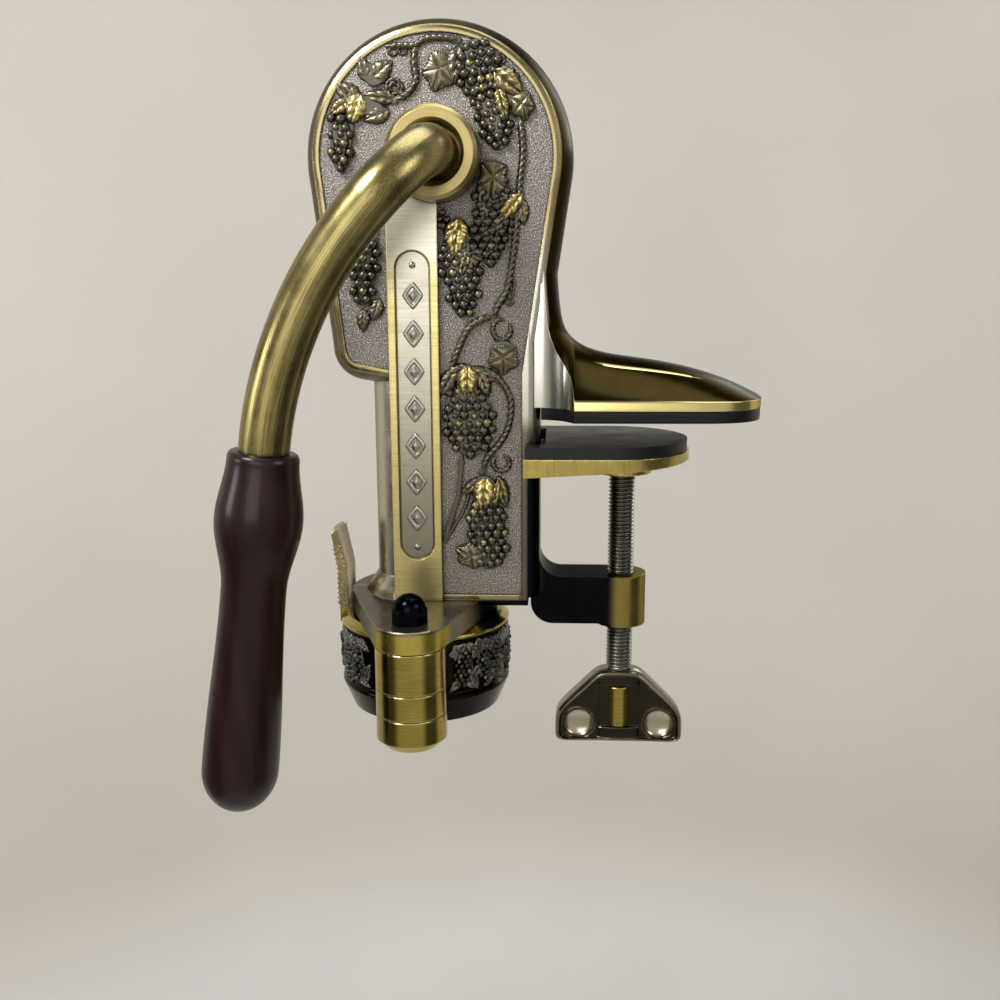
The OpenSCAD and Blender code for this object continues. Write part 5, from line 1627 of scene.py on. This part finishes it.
@dataclass(frozen=True)
class Clamp(Assembly):
    """The clamp's plate, screw and wing.

    Attributes:
        crest: Radius over the thread.
        depth: Depth of the thread.
        pitch: Pitch of the thread.
        thread: Lowest and highest place of the thread.
        journal: Radius and top of the journal in the plate.
        tail: Radius and foot of the end in the wing.
        chamfers: Chamfers of the tail's and the journal's end.
        wing_middle: Height of the wing's middle.
        wing_sides: Bearing and distance of the wing's straight sides.
        wing_face: Half its thickness over the rim, over the sunk face and in the sleeve's pocket.
        wing_rim: Width of the rim.
        wing_power: How sharp the corners of the outline are.
        boss_half: Half the width of the boss down the middle.
        edge_round: Reach and depth of the rounded outer edge.
        sleeve: Half width, foot and top of the sleeve's pocket.
        sleeve_slope: Width of the slope down into the pocket.
        dimple: Place beside and below the wing's middle, reach and depth of a finger dimple.
    """

    crest: float = 6.0
    depth: float = 0.95
    pitch: float = 1.75
    thread: tuple[float, float] = (-119.4, -26.3)
    journal: tuple[float, float] = (4.0, -15.6)
    tail: tuple[float, float] = (4.5, -152.4)
    chamfers: tuple[float, float] = (0.6, 0.5)
    wing_middle: float = -137.0
    wing_sides: tuple[tuple[float, float], ...] = (
        (0.0, 29.5), (45.0, 18.9), (90.0, 17.6), (135.0, 18.9), (180.0, 29.5), (270.0, 17.4),
    )
    wing_face: tuple[float, float, float] = (6.0, 4.5, 4.2)
    wing_rim: float = 2.4
    wing_power: float = 16.0
    boss_half: float = 9.5
    edge_round: tuple[float, float] = (1.1, 1.6)
    sleeve: tuple[float, float, float] = (9.6, -146.8, -127.0)
    sleeve_slope: float = 0.5
    dimple: tuple[float, float, float, float] = (18.6, -8.6, 7.4, 2.9)

    def dress(self) -> None:
        """Finish the clamp's own nodes."""
        PLATE_BRASS.dress("pressure_plate")
        BLACK_RUBBER.dress("clamp_pad")
        KNUCKLE_BRASS.dress("wing_sleeve")
        DARK_STEEL.dress("wing_pin", "screw_clip")

    def screw(self) -> Surface:
        """Cut the screw's thread.

        The radius at height z and bearing b is the crest less the depth times a rounded saw of z over the
        pitch less b over a full turn, so that the ridge climbs to the right. It fades at both ends.
        """
        low, high = self.thread
        z = np.linspace(low, high, 12 * int((high - low) / self.pitch))[:, None]
        b = bearings(36)[None]
        phase = np.mod(z / self.pitch - b / FULL_TURN, 1.0)
        saw = np.clip(1.25 * np.abs(2.0 * phase - 1.0) - 0.12, 0.0, 1.0)
        fade = ease(z, low, low + self.pitch) * (1.0 - ease(z, high - self.pitch, high))
        r = self.crest - self.depth * (1.0 - (1.0 - saw) * fade)
        z = np.broadcast_to(z, r.shape)
        (tail, foot), (neck, top), (tail_cut, neck_cut) = self.tail, self.journal, self.chamfers
        ends = np.array([(tail - tail_cut, foot), (tail, foot + tail_cut), (tail, low)])
        tops = np.array([(neck, high), (neck, top - neck_cut), (neck - neck_cut, top)])
        below, above = ends[:, :, None] * np.ones_like(b), tops[:, :, None] * np.ones_like(b)
        r = np.concatenate([below[:, 0], r, above[:, 0]])
        z = np.concatenate([below[:, 1], z, above[:, 1]])
        rings = np.stack([r * np.cos(b), r * np.sin(b), z], axis=-1)
        return Surface.solid(rings, np.array([[0.0, 0.0, foot], [0.0, 0.0, top]]))

    def wing(self) -> Surface:
        """Cast the wing as rings from its front's middle out to its edge and back in behind.

        The reach at a bearing is the sum, over the straight sides, of the cosine of the bearing from each
        side over its distance, to a high power, all to one over minus that power, so the corners are round.
        The half thickness has a rim along the edge, a half-round boss down the middle, a pocket for the
        sleeve and two round dimples.
        """
        share = np.concatenate([np.linspace(0.01, 0.9, 70), np.linspace(0.9, 1.0, 16)[1:]])[:, None]
        b = bearings(240)[None]
        sides = np.array(self.wing_sides)[:, :, None]
        push = np.clip(np.cos(b - np.radians(sides[:, 0])) / sides[:, 1], 0.0, None)
        reach = (push**self.wing_power).sum(axis=0)[None] ** (-1.0 / self.wing_power)
        x, v = share * reach * np.cos(b), share * reach * np.sin(b)
        z = self.wing_middle + v
        rim, face, pocket = self.wing_face
        inside = (1.0 - share) * reach * 0.85
        thick = face + (rim - face) * (1.0 - ease(inside, self.wing_rim - 1.0, self.wing_rim))
        boss = (rim - face) * np.sqrt(np.clip(1.0 - (x / self.boss_half) ** 2, 0.0, 1.0))
        thick = np.maximum(thick, face + boss)
        aside, below, wide, deep = self.dimple
        off = np.hypot(np.abs(x) - aside, v - below) / wide
        lip = 0.5 * np.exp(-(((off - 1.0) / 0.1) ** 2))
        thick = thick + lip - deep * np.sqrt(np.clip(1.0 - off**2, 0.0, 1.0))
        half, foot, top = self.sleeve
        slope = self.sleeve_slope
        level = ease(z, foot - slope, foot) * (1.0 - ease(z, top, top + slope))
        sunk = (1.0 - ease(np.abs(x), half - slope, half)) * level
        thick = thick + (pocket - thick) * sunk
        edge, fall = self.edge_round
        thick = np.minimum(thick, rim) - fall * ease(-inside, -edge, 0.0) ** 2
        bright_rim = 0.35 * (1.0 - ease(inside, 0.6, self.wing_rim))
        shine = np.maximum(0.8 * (1.0 - ease(off, 0.8, 1.0)), bright_rim)
        front = np.stack([x, -thick, z], axis=-1)
        back = np.stack([x, thick, z], axis=-1)[::-1]
        tips = np.array([[0.0, -pocket, self.wing_middle], [0.0, pocket, self.wing_middle]])
        return Surface.solid(np.concatenate([front, back]), tips, np.concatenate([shine, shine[::-1]]))

    def put(self) -> None:
        """Set the threaded screw and the cast wing in the clamp."""
        body = "clamp_screw"
        self.screw().put("threaded_screw", body, Slot.DARK_STEEL, SCREW_STEEL, ("clamp_screw",), 80.0)
        self.wing().put("cast_wing", body, Slot.DARK_BRASS, WING_STEEL, ("wing_handle",), 60.0)


@dataclass(frozen=True)
class Jaws(Assembly):
    """The bottle collar's two jaws with their relief and knurled tabs.

    Attributes:
        ground: Radius of the relief's sunk ground.
        band: Lowest and highest place of the ground.
        tab_radius: Radius of a tab's outer face below its lean.
        tab_half: Half the angle that a tab spans, in degrees.
        tab_from: Lowest and highest row of the knurl.
        lean_from: Height at which a tab starts to lean.
        lean: Outward lean for each millimetre above that.
        knurl: Distance between the knurl's points.
        step: Angle of one repeat of the relief, in degrees.
        seed: Start of the small unevenness.
    """

    ground: float = 37.4
    band: tuple[float, float] = (-120.2, -96.8)
    tab_radius: float = 39.5
    tab_half: float = 13.0
    tab_from: tuple[float, float] = (-88.0, -60.0)
    lean_from: float = -70.5
    lean: float = 0.1875
    knurl: float = 2.3
    step: float = 15.0
    seed: int = 11

    def dress(self) -> None:
        """Finish the jaws' own nodes."""
        KNUCKLE_BRASS.dress("front_jaw", "rear_jaw", "hinge_bolt")
        BLUED_STEEL.dress("hinge_nut")

    def frieze(self, start: float, stop: float) -> Surface:
        """Model a run of bunches, leaves and vines on a flat ground.

        Args:
            start: Bearing of its start in degrees.
            stop: Bearing of its end in degrees.

        Returns:
            The run, with its length along the ground and its height across.
        """
        draw = np.random.default_rng(self.seed)
        low, high = self.band
        count = int((stop - start) / self.step)
        along = self.ground * np.radians(start + self.step * (0.5 + np.arange(count)))
        reach = 0.5 * self.ground * math.radians(self.step)
        parts: list[Surface] = []
        for k, u in enumerate(along):
            sway = 1.0 if k % 2 else -1.0
            top = high - 4.5 - (3.5 if k % 2 else 0.0)
            parts.append(Bunch((u, top), (u + 2.0 * sway, low + 2.2), 8.6, 1.35, 0.5, 0.8).surface(draw))
            leaves = [
                Leaf((u - 2.6, high - 4.2), 11.0, 8.6, 210.0 + 20.0 * sway, 0.35, LeafKind.LOBED, 1.7),
                Leaf((u + 3.6, high - 3.4), 9.0, 5.5, 335.0, 0.3, rise=1.7),
                Leaf((u + 5.0, low + 7.0), 12.0, 6.0, 85.0 + 25.0 * sway, 0.3, rise=1.5),
                Leaf((u - 4.4, low + 4.0), 9.0, 5.2, 250.0 + 30.0 * sway, 0.3, rise=1.5),
                Leaf((u + 4.0, low + 2.6), 8.0, 4.2, 10.0 + 30.0 * sway, 0.3, rise=1.5),
            ]
            parts += [leaf.surface() for leaf in leaves]
            wave = (
                (u - reach, high - 2.0),
                (u, high - 4.2),
                (u + 0.6 * reach, high - 9.0),
                (u + reach, low + 2.6),
            )
            parts.append(Vine(wave, 0.85, 3, 0.3).surface())
        return Surface.join(parts)

    def points(self, columns: np.ndarray, pitch: float, sunk: float, radius: float) -> Surface:
        """Model staggered rows of four-sided points on a flat ground, as high as a tab's knurl.

        Args:
            columns: Places across, in pitches.
            pitch: Distance across between points.
            sunk: How far their middles are sunk.
            radius: Radius of a point.

        Returns:
            The points.
        """
        rows = np.arange(*self.tab_from, 0.5 * self.knurl)
        row, column = np.meshgrid(np.arange(len(rows)), columns, indexing="ij")
        across = ((column + 0.5 * (row % 2)) * pitch).ravel()
        ones = np.ones(len(across))
        centres = np.column_stack([across, rows[row].ravel(), -sunk * ones])
        return balls(centres, radius * ones, 0.5 * ones, 1, 4)

    def knurled(self, bearing: float) -> Surface:
        """Model a tab's knurl as staggered four-sided points on its outer face and one side.

        Args:
            bearing: Bearing of the tab's middle in degrees.

        Returns:
            The points, already in place.
        """
        face = self.points(np.arange(-3.0, 3.5), self.knurl, 0.35, 1.12)
        side = self.points(np.array([-1.0, 0.0]), 0.8 * self.knurl, 0.3, 1.0)
        side_in = 0.7

        def leaning(height: np.ndarray) -> np.ndarray:
            """Radius of the tab's outer face at a height."""
            return self.tab_radius + self.lean * np.clip(height - self.lean_from, 0.0, None)

        def bend(p: np.ndarray) -> np.ndarray:
            """Bend the flat knurl round the tab's outer face."""
            turn = math.radians(bearing) + p[:, 0] / self.tab_radius
            return round_worm(leaning(p[:, 1]) + p[:, 2], turn, p[:, 1])

        def wrap(p: np.ndarray) -> np.ndarray:
            """Carry the flat knurl onto the tab's side that faces the lever."""
            turn = math.radians(bearing + self.tab_half) + p[:, 2] / self.tab_radius
            return round_worm(leaning(p[:, 1]) - side_in + p[:, 0], turn, p[:, 1])

        return Surface.join([face.placed(bend), side.placed(wrap)])

    def put(self) -> None:
        """Set the relief and the knurl on each jaw."""
        def place(p: np.ndarray) -> np.ndarray:
            """Bend the flat relief round the collar."""
            return round_worm(self.ground + p[:, 2], p[:, 0] / self.ground, p[:, 1])

        for body, start, stop, tab in (("front_jaw", 96.0, 244.0, 178.0), ("rear_jaw", -64.0, 84.0, 74.0)):
            relief = self.frieze(start, stop).placed(place)
            relief.put("relief_" + body, body, Slot.DARK_BRASS, COLLAR_METAL)
            self.knurled(tab).put("knurl_" + body, body, Slot.ANTIQUE_BRASS, KNUCKLE_BRASS, crease=20.0)


class Drive(Assembly):
    """The gear train, rack and worm inside the body."""

    def dress(self) -> None:
        """Finish the drive's nodes."""
        BRIGHT_STEEL.dress("worm", "gear_key", "worm_clip")
        DARK_STEEL.dress("lever_gear", "idler_gear", "rack")
        BEARING_BRASS.dress("worm_bearing")


@dataclass(frozen=True)
class Lamp:
    """A soft square lamp aimed at the object.

    Attributes:
        name: Name of the lamp.
        at: Its place.
        size: Its side.
        watts: Its power.
    """

    name: str
    at: tuple[float, float, float]
    size: float
    watts: float

    def put(self, aim: Vector) -> None:
        """Hang the lamp and turn it to its aim.

        Args:
            aim: Place that it shines at, in metres.
        """
        light = bpy.data.lights.new(self.name, "AREA")
        light.size = self.size * MM
        light.energy = self.watts
        light.shape = "SQUARE"
        lamp = bpy.data.objects.new(self.name, light)
        lamp.location = Vector(self.at) * MM
        lamp.rotation_euler = (aim - lamp.location).to_track_quat("-Z", "Y").to_euler()
        lamp.visible_camera = False
        bpy.context.scene.collection.objects.link(lamp)


@dataclass(frozen=True)
class Studio:
    """Floor, backdrop, lamps and camera.

    Attributes:
        floor: Height of the floor.
        floor_start: Reach of the floor's innermost ring.
        floor_reach: Reach of the flat floor round the object.
        bend: Radius of the bend from floor to wall.
        wall: Height of the wall.
        eye: Place of the camera.
        lens: Focal length for a sensor 36 wide.
        heading: Turn of the camera towards -X, in degrees.
        pitch: Downward tilt of the camera, in degrees.
        roll: Roll of the camera, in degrees.
        sky: Colour of the light from above.
        sky_level: Strength of the light from above.
        lamps: The lamps.
    """

    floor: float = -950.0
    floor_start: float = 200.0
    floor_reach: float = 900.0
    bend: float = 200.0
    wall: float = 2600.0
    eye: tuple[float, float, float] = (-29.6, -491.8, 62.4)
    lens: float = 39.6
    heading: float = 3.0
    pitch: float = 11.7
    roll: float = 0.28
    sky: Rgb = (236, 238, 242)
    sky_level: float = 0.4
    lamps: tuple[Lamp, ...] = (
        Lamp("key_lamp", (-560.0, -520.0, 700.0), 320.0, 11.0),
        Lamp("front_lamp", (-230.0, -980.0, 170.0), 520.0, 2.0),
        Lamp("side_lamp", (-880.0, -330.0, 120.0), 240.0, 1.4),
        Lamp("fill_lamp", (700.0, -420.0, 380.0), 380.0, 2.0),
        Lamp("top_lamp", (40.0, 160.0, 950.0), 700.0, 5.5),
        Lamp("back_lamp", (420.0, 700.0, 420.0), 400.0, 2.0),
    )

    def sweep(self) -> bpy.types.Object:
        """Model the floor and wall as one profile carried round the object: flat, a quarter bend, upright."""
        flat_rings = 6
        quarter = np.linspace(0.0, 0.5 * math.pi, 14)
        reach = np.concatenate([
            np.linspace(self.floor_start, self.floor_reach, flat_rings),
            self.floor_reach + self.bend * np.sin(quarter[1:]),
            [self.floor_reach + self.bend],
        ])
        rise = np.concatenate([np.zeros(flat_rings), self.bend * (1.0 - np.cos(quarter[1:])), [self.wall]])
        b = bearings(96)
        height = np.broadcast_to((self.floor + rise)[:, None], (len(reach), len(b)))
        rings = np.stack([reach[:, None] * np.cos(b), reach[:, None] * np.sin(b), height], axis=-1)
        number = np.arange(rings.shape[0] * rings.shape[1]).reshape(rings.shape[:2])
        turned = np.roll(number, -1, axis=1)
        quads = np.stack([number[:-1], number[1:], turned[1:], turned[:-1]], axis=-1).reshape(-1, 4)
        mesh = bpy.data.meshes.new("sweep")
        mesh.from_pydata((rings.reshape(-1, 3) * MM).tolist(), [], quads.tolist() + [number[0].tolist()])
        mesh.polygons.foreach_set("use_smooth", np.ones(len(mesh.polygons), bool))
        mesh.materials.append(BACKCLOTH.material())
        floor = bpy.data.objects.new("sweep", mesh)
        bpy.context.scene.collection.objects.link(floor)
        return floor

    def camera(self) -> None:
        """Set the camera from its heading, pitch and roll."""
        a, p, r = (math.radians(v) for v in (self.heading, self.pitch, self.roll))
        ahead = Vector((-math.sin(a) * math.cos(p), math.cos(a) * math.cos(p), -math.sin(p)))
        level = Vector((math.cos(a), math.sin(a), 0.0))
        below = ahead.cross(level)
        right = level * math.cos(r) + below * math.sin(r)
        down = below * math.cos(r) - level * math.sin(r)
        lens = bpy.data.cameras.new("camera")
        lens.lens = self.lens
        lens.sensor_width = 36.0
        lens.clip_start = 0.01
        camera = bpy.data.objects.new("camera", lens)
        axes = Matrix((right, -down, -ahead)).transposed().to_4x4()
        camera.matrix_world = Matrix.Translation(Vector(self.eye) * MM) @ axes
        bpy.context.scene.collection.objects.link(camera)
        bpy.context.scene.camera = camera

    def put(self) -> None:
        """Set up the floor, the lamps, the sky and the camera."""
        self.sweep()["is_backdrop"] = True
        aim = (CAD_BOX[0] + CAD_BOX[1]) / 2.0
        for lamp in self.lamps:
            lamp.put(aim)
        world = bpy.data.worlds.new("sky")
        world.use_nodes = True
        sky = world.node_tree.nodes["Background"]
        sky.inputs["Color"].default_value = linear(self.sky)
        sky.inputs["Strength"].default_value = self.sky_level
        bpy.context.scene.world = world
        bpy.context.scene.view_settings.view_transform = "Standard"
        self.camera()


def write_sizes() -> None:
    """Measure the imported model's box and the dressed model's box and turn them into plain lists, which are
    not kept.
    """
    boxes = {"cad": CAD_BOX, "visual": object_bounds()}
    {name: [list(low), list(high)] for name, (low, high) in boxes.items()}


def main() -> None:
    """Build the studio and the sub-assemblies in order."""
    logging.basicConfig(level=logging.INFO, format="%(name)s: %(message)s")
    Studio().put()
    for assembly in (Body(), SideRelief(), Lever(), Foot(), Clamp(), Jaws(), Drive()):
        assembly.dress()
        assembly.put()
    write_sizes()


if __name__ == "__main__":
    main()
